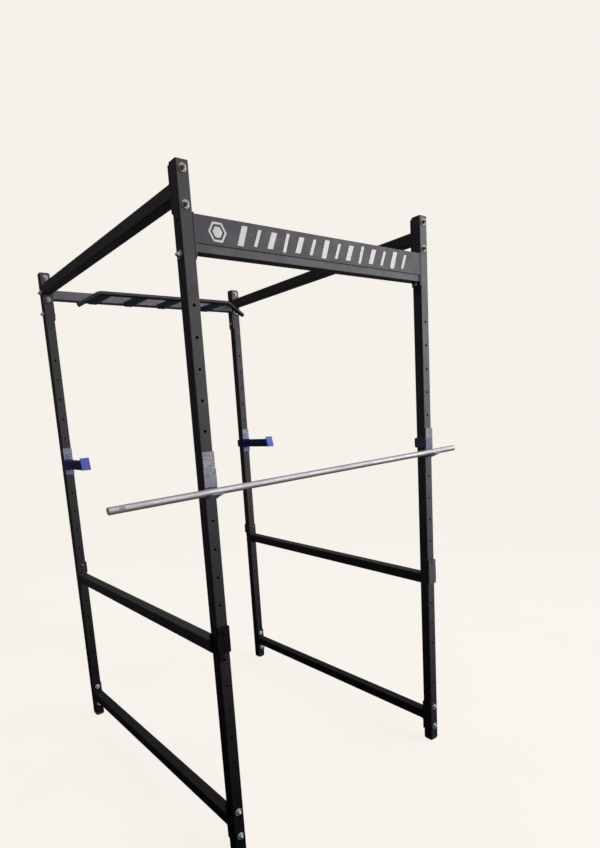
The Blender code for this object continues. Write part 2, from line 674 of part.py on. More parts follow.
def build_cups():
    front_zinc = material("Cup_Front_Galvanised", (0.27, 0.27, 0.285), 0.5, 0.6)
    rear_zinc = material("Cup_Rear_Galvanised", (0.17, 0.18, 0.25), 0.45, 0.5)
    front_blue = material("Cup_Front_Blue", (0.030, 0.034, 0.095), 0.4, 0.0)
    rear_blue = material("Cup_Rear_Blue", (0.012, 0.018, 0.075), 0.4, 0.0)
    rear_plate = cup_plate_mesh(True, CUP_PLATE_TOP["Rear"])
    for side_name, side in SIDES:
        x = side * POST_X
        front_spot = (x, -POST_Y - HALF, lifted_hole_z(CUP_HOLE, "Front", side_name))
        rear_spot = (x, POST_Y - HALF, lifted_hole_z(CUP_HOLE, "Rear", side_name))
        front_plate = cup_plate_mesh(False, CUP_PLATE_TOP["Front"] if side < 0 else SHORT_PLATE_TOP)
        add(f"Cup_Plate_Front_{side_name}", front_plate, front_spot, front_zinc)
        front_hook = front_hook_mesh(side, BAR_REST[side_name])
        add(f"Cup_Hook_Front_{side_name}", front_hook, front_spot, front_blue)
        add(f"Cup_Plate_Rear_{side_name}", rear_plate, rear_spot, rear_zinc)
        add(f"Cup_Hook_Rear_{side_name}", rear_hook_mesh(side), rear_spot, rear_blue)


def build_bar():
    steel = material("Bar_Steel", (0.42, 0.40, 0.38), 0.45, 0.8)
    y = -(POST_Y + HALF + BAR_OUT)
    x = (BAR_RIGHT - BAR_LEFT) / 2
    low_edge = LEFT_REST + CRADLE_HALF * BAR_RISE + GAP / 2
    z = low_edge + GAP + BAR_R * math.hypot(1.0, BAR_RISE) + (x + POST_X) * BAR_RISE
    add("Bar", bar_mesh(), (x, y, z), steel)


def build_fasteners():
    zinc = material("Bolt_Zinc", (0.66, 0.66, 0.64), 0.3, 1.0)
    front_set = fastener_mesh("Y", -HALF, HALF + GAP + PLATE_T)
    rear_set = fastener_mesh("Y", -HALF, HALF + GAP + PLATE_T)
    rear_set.transform(Matrix.Scale(-1.0, 4, Vector((0.0, 1.0, 0.0))))
    tidy(rear_set)
    levels = (("Top", TOP_HOLES), ("Bottom", (hole_z(0), hole_z(1))))
    for level, heights in levels:
        for end, along in ENDS:
            for side_name, side in SIDES:
                for position, z in zip(("Lower", "Upper"), heights):
                    mesh = front_set if along < 0 else rear_set
                    name = f"{level}_Bolt_{end}_{side_name}_{position}"
                    add(name, mesh, (side * POST_X, along * POST_Y, z), zinc)
    grip = TUBE + GAP + PLATE_T
    for side_name, side in SIDES:
        mesh = short_fastener_mesh(side, grip)
        outer = side * WIDTH / 2
        add(f"Cross_Bolt_Front_{side_name}", mesh, (outer, -POST_Y, FRONT_HOLES[0]), zinc)
        for position, z in zip(("Lower", "Upper"), REAR_HOLES):
            add(f"Cross_Bolt_Rear_{side_name}_{position}", mesh, (outer, POST_Y, z), zinc)


clear_scene()
build_frame()
build_pull_up()
build_safeties()
build_cups()
build_bar()
build_fasteners()
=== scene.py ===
import json
import math
import random

import bmesh
import bpy
from mathutils import Matrix, Vector

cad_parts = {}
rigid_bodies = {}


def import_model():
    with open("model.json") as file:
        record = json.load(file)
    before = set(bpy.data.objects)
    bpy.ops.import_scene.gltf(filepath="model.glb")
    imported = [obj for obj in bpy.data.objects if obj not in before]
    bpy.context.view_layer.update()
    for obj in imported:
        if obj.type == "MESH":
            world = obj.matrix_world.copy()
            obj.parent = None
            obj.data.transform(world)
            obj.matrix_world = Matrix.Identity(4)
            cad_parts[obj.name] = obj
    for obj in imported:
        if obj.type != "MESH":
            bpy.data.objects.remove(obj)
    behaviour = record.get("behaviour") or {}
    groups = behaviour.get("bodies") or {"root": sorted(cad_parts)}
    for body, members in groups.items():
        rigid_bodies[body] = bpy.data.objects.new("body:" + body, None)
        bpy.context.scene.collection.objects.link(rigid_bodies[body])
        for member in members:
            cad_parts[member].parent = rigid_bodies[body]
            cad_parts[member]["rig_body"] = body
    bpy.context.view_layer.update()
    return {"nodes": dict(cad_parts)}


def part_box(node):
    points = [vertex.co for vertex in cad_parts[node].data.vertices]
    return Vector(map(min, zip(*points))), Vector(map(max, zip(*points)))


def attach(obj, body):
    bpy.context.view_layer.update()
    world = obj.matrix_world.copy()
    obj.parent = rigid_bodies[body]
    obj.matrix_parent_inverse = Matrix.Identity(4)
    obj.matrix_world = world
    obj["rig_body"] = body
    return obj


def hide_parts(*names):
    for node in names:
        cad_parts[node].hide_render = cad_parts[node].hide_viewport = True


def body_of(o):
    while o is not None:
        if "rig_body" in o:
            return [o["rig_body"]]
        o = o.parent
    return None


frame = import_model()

# ---- driving sizes, in metres; the rest is read from the frame ----
SIDES = (("Left", -1), ("Right", 1))
ENDS = (("Front", -1), ("Rear", 1))
HALF = 0.020                    # half the side of the square tube
WALL = 0.002
TUBE_ROUND = 0.0034             # outer corner radius of the tube
GAP = 0.0003                    # between pieces that touch
PLATE_T = 0.004
PLATE_ROUND = 0.0022
PLATE_RIM = 0.0007              # eased rim of an end plate
BOLT_R = 0.004
HOLE_R = 0.0045
PITCH = 0.0873
FIRST_HOLE = 0.066
HOLE_COUNT = 20
CUP_HOLE = 14
TOP_HOLES = (1.9860, 2.0780)
CROSS_HOLES = {"Front": (1.8600, 1.9463), "Rear": (1.926, 2.016)}
ROW_LIFT = {("Front", "Left"): 0.0, ("Front", "Right"): 0.023,      # rise of an upright's middle holes
            ("Rear", "Left"): 0.008, ("Rear", "Right"): 0.032}


def corners(node):
    low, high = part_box(node)
    return Vector(low), Vector(high)


def centre(node):
    low, high = corners(node)
    return (low + high) / 2


def post_face(end, side_name):
    """Middle of an upright in X, and its front face in Y."""
    low = corners(f"Upright_{end}_{side_name}")[0]
    return low.x + HALF, low.y


def raised_holes(end, side_name):
    """Holes of an upright that sit higher by its row lift."""
    return range(2, 20) if (end, side_name) == ("Rear", "Right") else range(2, 15)


def hole_z(index, end, side_name):
    lift = ROW_LIFT[end, side_name] if index in raised_holes(end, side_name) else 0.0
    return FIRST_HOLE + PITCH * index + lift


# ---- outlines and loops ----
def at(axis, a, b, along):
    """Point from in-plane coordinates and a position along the axis, all in X, Y, Z order."""
    if axis == "X":
        return (along, a, b)
    if axis == "Y":
        return (a, along, b)
    return (a, b, along)


def rounded_rect(middle, half, radius, steps=4):
    """Counter-clockwise outline of a rectangle with rounded corners."""
    points = []
    for turn, (sx, sy) in enumerate(((1, 1), (-1, 1), (-1, -1), (1, -1))):
        cx = middle[0] + sx * (half[0] - radius)
        cy = middle[1] + sy * (half[1] - radius)
        for i in range(steps + 1):
            angle = math.pi / 2 * (turn + i / steps)
            points.append((cx + radius * math.cos(angle), cy + radius * math.sin(angle)))
    return points


def box_outline(a, b):
    return [(a[0], a[1]), (b[0], a[1]), (b[0], b[1]), (a[0], b[1])]


def fillet(outline, radius, steps=3):
    """Outline with every corner eased by a small curve."""
    out = []
    for i, corner in enumerate(outline):
        here = Vector(corner)
        before = Vector(outline[i - 1]) - here
        after = Vector(outline[(i + 1) % len(outline)]) - here
        reach = min(radius, before.length * 0.45, after.length * 0.45)
        start = here + before.normalized() * reach
        end = here + after.normalized() * reach
        for k in range(steps + 1):
            t = k / steps
            out.append(tuple(start.lerp(here, t).lerp(here.lerp(end, t), t)))
    return out


def inset(outline, distance):
    """Outline moved inwards by a distance; the outline turns counter-clockwise."""
    out = []
    for i, corner in enumerate(outline):
        here = Vector(corner)
        before = (here - Vector(outline[i - 1])).normalized()
        after = (Vector(outline[(i + 1) % len(outline)]) - here).normalized()
        normal = Vector((-before.y, before.x))
        mean = (normal + Vector((-after.y, after.x))).normalized()
        out.append(tuple(here + mean * (distance / max(mean.dot(normal), 0.5))))
    return out


def anticlockwise(outline):
    area = sum(a[0] * b[1] - b[0] * a[1] for a, b in zip([outline[-1], *outline], outline))
    return list(outline) if area > 0 else list(reversed(outline))


def circle(axis, middle, along, reach, sides):
    """Loop round an axis; the reach is a radius, or a function of the angle that gives one."""
    loop = []
    for i in range(sides):
        angle = math.tau * i / sides
        out = reach(angle) if callable(reach) else reach
        loop.append(at(axis, middle[0] + out * math.cos(angle), middle[1] + out * math.sin(angle), along))
    return loop


def hoop(spot, across, depth, reach, sides):
    """Round loop about a point, in the plane of two unit vectors."""
    loop = []
    for k in range(sides):
        angle = math.tau * k / sides
        loop.append(tuple(spot + across * (reach * math.cos(angle)) + depth * (reach * math.sin(angle))))
    return loop


def resample(path, spacing):
    """Points at even spacing along a closed path."""
    spots = [Vector(p) for p in path]
    lengths = [(spots[(i + 1) % len(spots)] - spots[i]).length for i in range(len(spots))]
    total = sum(lengths)
    count = max(12, round(total / spacing))
    out = []
    index, walked = 0, 0.0
    for step in range(count):
        target = total * step / count
        while index < len(spots) - 1 and walked + lengths[index] < target:
            walked += lengths[index]
            index += 1
        share = (target - walked) / max(lengths[index], 1e-9)
        out.append(spots[index].lerp(spots[(index + 1) % len(spots)], share))
    return out


# ---- solids and pieces ----
class Solid:
    """Closed shells gathered into one mesh."""

    def __init__(self):
        self.points = []
        self.faces = []

    def loft(self, loops, closed=False):
        base = len(self.points)
        count = len(loops[0])
        for loop in loops:
            self.points.extend(loop)
        for i in range(len(loops) if closed else len(loops) - 1):
            a = base + i * count
            b = base + (i + 1) % len(loops) * count
            for j in range(count):
                k = (j + 1) % count
                self.faces.append((a + j, a + k, b + k, b + j))
        if not closed:
            last = base + (len(loops) - 1) * count
            self.faces.append(tuple(range(base + count - 1, base - 1, -1)))
            self.faces.append(tuple(range(last, last + count)))
        return self

    def block(self, axis, outline, low, high, edge, steps=3):
        """Prism of an outline with eased rims."""
        outline = anticlockwise(outline)
        turns = [math.pi / 2 * i / steps for i in range(steps + 1)]
        rims = [(edge * (1 - math.sin(t)), edge * (1 - math.cos(t))) for t in turns]
        levels = [(shrink, low + rise) for shrink, rise in rims]
        levels += [(shrink, high - rise) for shrink, rise in reversed(rims)]
        made = [[at(axis, a, b, along) for a, b in inset(outline, shrink)] for shrink, along in levels]
        return self.loft(made)

    def bar(self, axis, middle, half, radius, low, high, edge=0.0008):
        return self.block(axis, rounded_rect(middle, half, radius), low, high, edge)

    def plate(self, axis, outline, near, far, edge=0.0006, ease=0.0012):
        return self.block(axis, fillet(outline, ease), min(near, far), max(near, far), edge)

    def turn(self, axis, middle, profile, sides=32, closed=False):
        """Turned piece from (position along the axis, radius); a closed profile makes a ring."""
        return self.loft([circle(axis, middle, along, radius, sides) for along, radius in profile], closed)

    def hexagon(self, axis, middle, low, high, corner, chamfer_low=True, chamfer_high=True):
        """Hexagon nut or head whose corners are turned off at its faces."""
        flat = corner * math.cos(math.pi / 6)
        loops = []
        for level in (0.0, 0.06, 0.12, 0.2, 0.5, 0.8, 0.88, 0.94, 1.0):
            limit = corner
            if chamfer_low:
                limit = min(limit, flat * 0.97 + (high - low) * level * 1.7)
            if chamfer_high:
                limit = min(limit, flat * 0.97 + (high - low) * (1 - level) * 1.7)

            def reach(angle):
                within = (angle + math.pi / 6) % (math.pi / 3) - math.pi / 6
                return min(flat / math.cos(within), limit)

            loops.append(circle(axis, middle, low + (high - low) * level, reach, 48))
        return self.loft(loops)

    def thread(self, axis, middle, low, high, radius, pitch=0.00125, depth=0.0006, tip=0.0008):
        """Threaded stub with a helical groove and a rounded tip at both ends."""
        steps = max(8, int((high - low) / pitch * 8))
        loops = []
        for s in range(steps + 1):
            along = low + (high - low) * s / steps
            ease = min(1.0, min(along - low, high - along) / tip)

            def reach(angle):
                wave = 0.5 + 0.5 * math.cos(math.tau * along / pitch - angle)
                return radius - depth * wave - tip * (1 - ease)

            loops.append(circle(axis, middle, along, reach, 24))
        return self.loft(loops)

    def bead(self, path, radius, seed, spacing=0.0014, ripple=0.0034):
        """Weld bead along a closed path, with the overlapping scales a weld leaves."""
        draw = random.Random(seed)
        spots = resample(path, spacing)
        middle = sum(spots, Vector()) / len(spots)
        loops = []
        travelled = 0.0
        for i, spot in enumerate(spots):
            travelled += (spot - spots[i - 1]).length if i else 0.0
            tangent = (spots[(i + 1) % len(spots)] - spots[i - 1]).normalized()
            out = spot - middle
            out = (out - tangent * out.dot(tangent)).normalized()
            scale = 1 - 0.16 * (travelled / ripple % 1.0) + 0.05 * draw.uniform(-1, 1)
            loops.append(hoop(spot, out, tangent.cross(out), radius * scale, 8))
        return self.loft(loops, closed=True)

    def weld(self, axis, middle, half, radius, along, bead, seed):
        """Bead round a tube, where it meets the face across the axis at this position."""
        path = [at(axis, a, b, along) for a, b in rounded_rect(middle, half, radius, 5)]
        return self.bead(path, bead, seed)

    def end_plates(self, axis, outline, ends, tube, bead, seed):
        """Plate at each end of a tube, given as (middle, half sizes, corner radius), welded round it."""
        for outer, inner in ((ends[0], ends[0] + PLATE_T), (ends[1], ends[1] - PLATE_T)):
            self.block(axis, outline, min(outer, inner), max(outer, inner), PLATE_RIM)
            self.weld(axis, *tube, inner, bead, seed + inner)
        return self

    def sweep(self, path, radius, sides):
        """Round bar along an open path, with softly rounded ends."""
        spots = [Vector(p) for p in path]
        first = (spots[1] - spots[0]).normalized()
        last = (spots[-1] - spots[-2]).normalized()
        caps = [(0.0, 0.55), (0.0008, 0.82), (0.0022, 0.96), (0.004, 1.0)]
        stations = [(spots[0] + first * shift, first, radius * share) for shift, share in caps]
        for before, here, after in zip(spots, spots[1:], spots[2:]):
            tangent = ((here - before).normalized() + (after - here).normalized()).normalized()
            stations.append((here, tangent, radius))
        stations += [(spots[-1] - last * shift, last, radius * share) for shift, share in reversed(caps)]
        loops = []
        for spot, tangent, reach in stations:
            across = tangent.cross(Vector((0.0, 1.0, 0.0))).normalized()
            loops.append(hoop(spot, across, across.cross(tangent).normalized(), reach, sides))
        return self.loft(loops)


def to_mesh(name, solid):
    mesh = bpy.data.meshes.new(name)
    mesh.from_pydata(solid.points, [], solid.faces)
    work = bmesh.new()
    work.from_mesh(mesh)
    bmesh.ops.remove_doubles(work, verts=work.verts, dist=1e-7)
    bmesh.ops.recalc_face_normals(work, faces=work.faces)
    work.to_mesh(mesh)
    work.free()
    return mesh


def subtract(mesh, cutter):
    """Mesh with another solid cut out of it."""
    holder = bpy.data.objects.new("holder", mesh)
    tool = bpy.data.objects.new("tool", cutter)
    for item in (holder, tool):
        bpy.context.scene.collection.objects.link(item)
    cut = holder.modifiers.new("cut", "BOOLEAN")
    cut.object = tool
    cut.operation = "DIFFERENCE"
    cut.solver = "EXACT"
    graph = bpy.context.evaluated_depsgraph_get()
    out = bpy.data.meshes.new_from_object(holder.evaluated_get(graph))
    for item in (holder, tool):
        bpy.data.objects.remove(item)
    return out


def smooth(made):
    for face in made.data.polygons:
        face.use_smooth = True
    made.data.set_sharp_from_angle(angle=math.radians(32.0))
    weighted = made.modifiers.new("even_shading", "WEIGHTED_NORMAL")
    weighted.keep_sharp = True
    weighted.weight = 80


def piece(name, shape, coat, slot, *nodes, body=None):
    """Adds a visual piece that stands for CAD nodes and rides on their body."""
    mesh = shape if isinstance(shape, bpy.types.Mesh) else to_mesh(name, shape)
    mesh.name = name
    mesh.materials.clear()
    mesh.materials.append(coat)
    made = bpy.data.objects.new(name, mesh)
    bpy.context.scene.collection.objects.link(made)
    smooth(made)
    rider = body or body_of(frame["nodes"][nodes[0]])[0]
    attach(made, rider)
    if nodes:
        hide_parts(*nodes)
    return made


# ---- building blocks of the finishes ----
def tint(colour, factor):
    return tuple(channel * factor for channel in colour)


class Graph:
    """Node tree with the arithmetic that the finishes and the backdrop use."""

    def __init__(self, tree):
        self.tree = tree

    def node(self, kind, inputs=None, **settings):
        """New node; each input is given a socket to read or a constant."""
        made = self.tree.nodes.new(kind)
        for key, value in settings.items():
            setattr(made, key, value)
        for key, value in (inputs or {}).items():
            self.feed(made.inputs[key], value)
        return made

    def feed(self, target, value):
        if isinstance(value, bpy.types.NodeSocket):
            self.tree.links.new(value, target)
        elif target.type == "RGBA":
            target.default_value = (*value, 1.0)
        else:
            target.default_value = value

    def math(self, operation, a, b=0.0, clamp=False):
        return self.node("ShaderNodeMath", {0: a, 1: b}, operation=operation, use_clamp=clamp).outputs[0]

    def plus(self, a, b, clamp=False):
        return self.math("ADD", a, b, clamp)

    def minus(self, a, b):
        return self.math("SUBTRACT", a, b)

    def times(self, a, b, clamp=False):
        return self.math("MULTIPLY", a, b, clamp)

    def length(self, a, b):
        return self.math("SQRT", self.plus(self.times(a, a), self.times(b, b)))

    def between(self, value, low, high, start=0.0, stop=1.0):
        """Soft step from start to stop as the value goes from low to high."""
        keys = ("Value", "From Min", "From Max", "To Min", "To Max")
        inputs = dict(zip(keys, (value, low, high, start, stop)))
        return self.node("ShaderNodeMapRange", inputs, interpolation_type="SMOOTHSTEP").outputs["Result"]

    def mix(self, share, a, b):
        return self.node("ShaderNodeMix", {0: share, 6: a, 7: b}, data_type="RGBA").outputs[2]

    def mix_shaders(self, share, first, second):
        return self.node("ShaderNodeMixShader", {0: share, 1: first, 2: second}).outputs[0]

    def split(self, vector):
        return self.node("ShaderNodeSeparateXYZ", {0: vector}).outputs

    def along(self, vector, way):
        """How far a vector points a given way."""
        dot = self.node("ShaderNodeVectorMath", {0: vector, 1: way}, operation="DOT_PRODUCT")
        return dot.outputs["Value"]


class Coat(Graph):
    """Surface whose colour is laid on in layers."""

    def __init__(self, name):
        self.material = bpy.data.materials.new(name)
        self.material.use_nodes = True
        super().__init__(self.material.node_tree)
        self.shader = self.tree.nodes["Principled BSDF"]
        self.place = self.node("ShaderNodeTexCoord").outputs["Object"]
        self.normal = self.node("ShaderNodeNewGeometry").outputs["Normal"]
        self.tone = None

    def noise(self, scale, detail=4.0, rough=0.55, stretch=None, shift=0.0):
        place = self.place
        if stretch:
            place = self.node("ShaderNodeMapping", {"Vector": place, "Scale": stretch}).outputs[0]
        inputs = {"Vector": place, "W": shift, "Scale": scale, "Detail": detail, "Roughness": rough}
        return self.node("ShaderNodeTexNoise", inputs, noise_dimensions="4D").outputs["Fac"]

    def cells(self, scale, output, shift):
        inputs = {"Vector": self.place, "W": shift, "Scale": scale}
        return self.node("ShaderNodeTexVoronoi", inputs, voronoi_dimensions="4D").outputs[output]

    def edges(self, radius):
        """1 on worn outer edges, 0 on flats."""
        bevel = self.node("ShaderNodeBevel", {"Radius": radius}, samples=4).outputs[0]
        return self.between(self.along(bevel, self.normal), 0.985, 0.86)

    def base(self, value, low, high, first, second):
        """Lowest layer: drifts from one colour to another as the value goes from low to high."""
        self.tone = self.mix(self.between(value, low, high), first, second)

    def lay(self, colour, share, *limits):
        """Next layer, by a share, or by a value taken between limits."""
        if limits:
            share = self.between(share, *limits)
        self.tone = self.mix(share, self.tone, colour)

    def finish(self, roughness, *bumps, metallic=0.0, gloss=0.5):
        """Closes the material; each bump is (height, strength, distance), the lowest first."""
        under = {}
        for height, strength, distance in bumps:
            inputs = {"Height": height, "Strength": strength, "Distance": distance, **under}
            under = {"Normal": self.node("ShaderNodeBump", inputs).outputs[0]}
        inputs = {"Base Color": self.tone, "Roughness": roughness, "Metallic": metallic,
                  "Specular IOR Level": gloss, **under}
        for key, value in inputs.items():
            self.feed(self.shader.inputs[key], value)
        return self.material


# ---- finishes ----
BLACK = (0.0, 0.0, 0.0)
DUST = (0.115, 0.105, 0.090)
BARE = (0.155, 0.150, 0.145)
SHADE_TOP, SHADE_LOW = 1.45, -0.1       # heights between which painted shade darkens the coats and dims their gloss towards the floor
RUB = 0.0022                            # width of the worn ring round a hole


def hole_wear(coat, spot, facing, holes_at):
    """1 in a narrow ring round every adjusting hole, on the faces that a pin rubs."""
    middle_x, lift, indices = holes_at
    first = FIRST_HOLE + PITCH * (indices[0] - 0.4)
    last = FIRST_HOLE + PITCH * (indices[-1] + 0.7)
    raised = coat.times(coat.between(spot[2], first - 0.001, first + 0.001),
                        coat.between(spot[2], last + 0.001, last - 0.001))
    level = coat.minus(spot[2], coat.times(raised, lift))
    step = coat.plus(level, PITCH / 2 - FIRST_HOLE)
    rise = coat.minus(coat.math("FLOORED_MODULO", step, PITCH), PITCH / 2)
    ring = coat.between(coat.length(rise, coat.minus(spot[0], middle_x)), HOLE_R + RUB, HOLE_R + 0.0002)
    front = coat.times(ring, coat.between(facing[1], -0.6, -0.9))
    back = coat.times(ring, coat.between(facing[1], 0.6, 0.9))
    top = FIRST_HOLE + PITCH * (HOLE_COUNT - 0.4)
    return coat.times(coat.plus(back, front, clamp=True), coat.between(spot[2], top, top - 0.002))


def powder(name, colour, rough=0.42, wear=0.5, dust=0.35, seed=0.0, gloss=0.4, painted_shade_gloss=0.22, holes_at=None,
           worn=BARE):
    """Powder coat: orange peel, scratches, rubbed edges, dust on upward faces, and painted shade that darkens
    it and dims its gloss towards the floor.
    """
    coat = Coat(name)
    spot = coat.split(coat.place)
    facing = coat.split(coat.normal)
    broad = coat.noise(3.2, 3.0, 0.6, shift=seed)
    cloud = coat.noise(26.0, 5.0, 0.6, shift=seed + 1.7)
    grit = coat.noise(230.0, 3.0, 0.6, shift=seed + 3.1)
    peel = coat.noise(850.0, 2.0, 0.5, shift=seed + 4.2)
    scratch = coat.noise(9.0, 6.0, 0.7, stretch=(34.0, 34.0, 1.6), shift=seed + 5.5)
    cross = coat.noise(7.0, 6.0, 0.72, stretch=(2.4, 2.4, 46.0), shift=seed + 6.1)
    coat.base(broad, 0.32, 0.68, tint(colour, 0.80), tint(colour, 1.22))
    coat.lay(tint(colour, 1.55), cloud, 0.42, 0.74, 0.0, 0.45)
    lines = coat.plus(coat.between(scratch, 0.655, 0.70), coat.between(cross, 0.675, 0.71), clamp=True)
    lines = coat.times(lines, coat.between(cloud, 0.45, 0.62))
    coat.lay(tint(worn, 0.7), coat.times(lines, 0.5))
    settled = coat.times(coat.between(facing[2], 0.55, 0.95, 0.0, 0.7), coat.between(grit, 0.34, 0.70))
    coat.lay(DUST, coat.times(settled, dust))
    rim = coat.times(coat.edges(0.0016), coat.between(grit, 0.40, 0.62))
    rim = coat.times(rim, coat.between(cloud, 0.30, 0.58))
    if holes_at is not None:
        ring = hole_wear(coat, spot, facing, holes_at)
        rim = coat.math("MAXIMUM", rim, coat.times(ring, coat.between(grit, 0.42, 0.58)))
    coat.lay(worn, coat.times(rim, wear))
    # painted shade: the colour darkens towards the floor
    coat.lay(BLACK, spot[2], SHADE_TOP, SHADE_LOW, 0.0, 0.72)
    # painted shade: the gloss fades towards the floor, down to a share set coat by coat
    gloss_with_painted_shade = coat.between(spot[2], SHADE_LOW, SHADE_TOP, gloss * painted_shade_gloss, gloss)
    gleam = coat.between(cloud, 0.30, 0.70, rough - 0.07, rough + 0.09)
    gleam = coat.plus(gleam, coat.times(settled, 0.22))
    gleam = coat.plus(gleam, coat.times(lines, 0.10), clamp=True)
    return coat.finish(gleam, (peel, 0.22, 0.0004), (grit, 0.10, 0.0005), gloss=gloss_with_painted_shade)


def zinc(name, colour, rough, seed=0.0):
    """Zinc plating with a faint yellow cast, grime in its hollows and tool marks."""
    coat = Coat(name)
    cloud = coat.noise(160.0, 4.0, 0.6, shift=seed)
    fine = coat.noise(900.0, 3.0, 0.6, shift=seed + 2.0)
    spots = coat.noise(420.0, 5.0, 0.7, shift=seed + 3.0)
    yellowed = (colour[0] * 0.92, colour[1] * 0.85, colour[2] * 0.70)
    coat.base(cloud, 0.35, 0.68, colour, yellowed)
    coat.lay((0.17, 0.13, 0.09), spots, 0.60, 0.72, 0.0, 0.8)
    coat.lay((0.60, 0.59, 0.57), coat.times(coat.edges(0.0006), 0.45))
    gleam = coat.between(cloud, 0.3, 0.7, rough - 0.06, rough + 0.12)
    gleam = coat.plus(gleam, coat.between(spots, 0.60, 0.72, 0.0, 0.3))
    metal = coat.between(spots, 0.60, 0.74, 1.0, 0.55)
    return coat.finish(gleam, (fine, 0.18, 0.0002), (spots, 0.12, 0.0002), metallic=metal)


def galvanised(name, colour, blue, fade_low, fade_high, share, seed=0.0):
    """Galvanised plate: spangle, pale bloom, dark scuffs and a blue overspray that thickens downwards."""
    coat = Coat(name)
    crystal = coat.split(coat.cells(190.0, "Color", seed))
    facets = coat.cells(190.0, "Distance", seed)
    small = coat.split(coat.cells(520.0, "Color", seed + 1.0))
    cloud = coat.noise(55.0, 5.0, 0.62, shift=seed + 2.0)
    bloom = coat.noise(120.0, 6.0, 0.7, shift=seed + 3.0)
    grain = coat.noise(185.0, 3.0, 0.65, shift=seed + 5.0)
    coat.base(crystal[0], 0.1, 0.9, tint(colour, 0.66), tint(colour, 1.34))
    coat.lay(tint(colour, 1.5), small[1], 0.2, 0.9, 0.0, 0.5)
    coat.lay(tint(colour, 1.9), grain, 0.53, 0.64, 0.0, 0.75)
    coat.lay(tint(colour, 0.45), grain, 0.46, 0.36, 0.0, 0.70)
    coat.lay(tint(colour, 0.42), cloud, 0.60, 0.76, 0.0, 0.15)
    height = coat.split(coat.place)[2]
    veil = coat.times(coat.between(height, fade_high, fade_low), coat.between(cloud, 0.25, 0.60))
    coat.lay(blue, coat.times(veil, share))
    coat.lay(tint(colour, 1.9), coat.times(coat.edges(0.001), 0.35))
    gleam = coat.between(crystal[1], 0.0, 1.0, 0.34, 0.58)
    gleam = coat.plus(gleam, coat.between(bloom, 0.5, 0.75, 0.0, 0.2), clamp=True)
    metal = coat.between(veil, 0.1, 0.8, 0.55, 0.15)
    return coat.finish(gleam, (facets, 0.25, 0.0004), (bloom, 0.25, 0.0004), metallic=metal)


def weathered_steel(name, low, high):
    """Old pipe: pale rubbed steel, streaks along it, a brown underside, a stain near its left end, a painted
    bluish reflection on its upward faces and painted light inside its bore ends.
    """
    coat = Coat(name)
    spot = coat.split(coat.place)
    facing = coat.split(coat.normal)
    streak = coat.noise(1.0, 6.0, 0.62, stretch=(14.0, 150.0, 150.0))
    patch = coat.noise(1.0, 5.0, 0.66, stretch=(26.0, 60.0, 60.0), shift=2.0)
    speck = coat.noise(330.0, 5.0, 0.7, shift=3.0)
    pits = coat.noise(700.0, 3.0, 0.6, shift=4.0)
    coat.base(streak, 0.36, 0.66, (0.45, 0.432, 0.448), (0.38, 0.362, 0.378))
    coat.lay((0.36, 0.31, 0.28), patch, 0.56, 0.70, 0.0, 0.45)
    # painted reflection: a bluish cast on the upward faces
    coat.lay((0.36, 0.36, 0.43), facing[2], 0.30, 0.80, 0.0, 0.6)
    coat.lay((0.39, 0.325, 0.29), facing[2], 0.40, -0.25, 0.0, 0.8)
    brown = coat.times(coat.between(facing[2], -0.05, -0.75), coat.between(streak, 0.25, 0.55, 0.55, 1.0))
    coat.lay((0.16, 0.105, 0.072), coat.times(brown, 0.85))
    dark = coat.times(coat.between(speck, 0.60, 0.70), coat.between(patch, 0.40, 0.62))
    coat.lay((0.095, 0.085, 0.080), coat.times(dark, 0.75))
    start = coat.between(spot[0], low.x + 0.026, low.x + 0.031)
    stop = coat.between(spot[0], low.x + 0.048, low.x + 0.042)
    stain = coat.times(coat.times(start, stop), coat.between(facing[1], 0.1, -0.45))
    stain = coat.times(stain, coat.between(speck, 0.30, 0.55))
    coat.lay((0.27, 0.225, 0.19), coat.times(stain, 0.7))
    # painted light: the bore inside each end is pale and not metallic, as if lit
    middle = (low + high) / 2
    axis_z = coat.plus(coat.times(coat.minus(spot[0], middle.x), BAR_RISE), middle.z)
    off_axis = coat.length(coat.minus(spot[1], middle.y), coat.minus(spot[2], axis_z))
    inside = coat.between(off_axis, 0.0091, 0.0086)
    coat.lay((0.78, 0.74, 0.58), inside)
    dull = coat.math("MAXIMUM", brown, stain)
    gleam = coat.plus(coat.between(streak, 0.3, 0.7, 0.40, 0.60), coat.times(dull, 0.35), clamp=True)
    metal = coat.minus(0.85, coat.times(dull, 0.6))
    metal = coat.times(metal, coat.minus(1.0, inside), clamp=True)
    return coat.finish(gleam, (streak, 0.10, 0.0004), (pits, 0.20, 0.0003), metallic=metal)


def rubber(name, colour):
    """Moulded rubber: dull, dusty, scuffed pale round its foot."""
    coat = Coat(name)
    cloud = coat.noise(70.0, 5.0, 0.6)
    grain = coat.noise(900.0, 3.0, 0.6, shift=1.0)
    scuff = coat.noise(240.0, 5.0, 0.7, shift=2.0)
    coat.base(cloud, 0.3, 0.7, tint(colour, 0.7), tint(colour, 1.5))
    foot = coat.between(coat.split(coat.place)[2], 0.009, 0.001)
    coat.lay(DUST, coat.times(foot, coat.between(scuff, 0.45, 0.65, 0.0, 0.7)))
    coat.lay((0.09, 0.088, 0.085), coat.times(coat.edges(0.001), 0.3))
    gleam = coat.between(cloud, 0.3, 0.7, 0.62, 0.85)
    return coat.finish(gleam, (grain, 0.35, 0.0004), (scuff, 0.2, 0.0004), gloss=0.35)


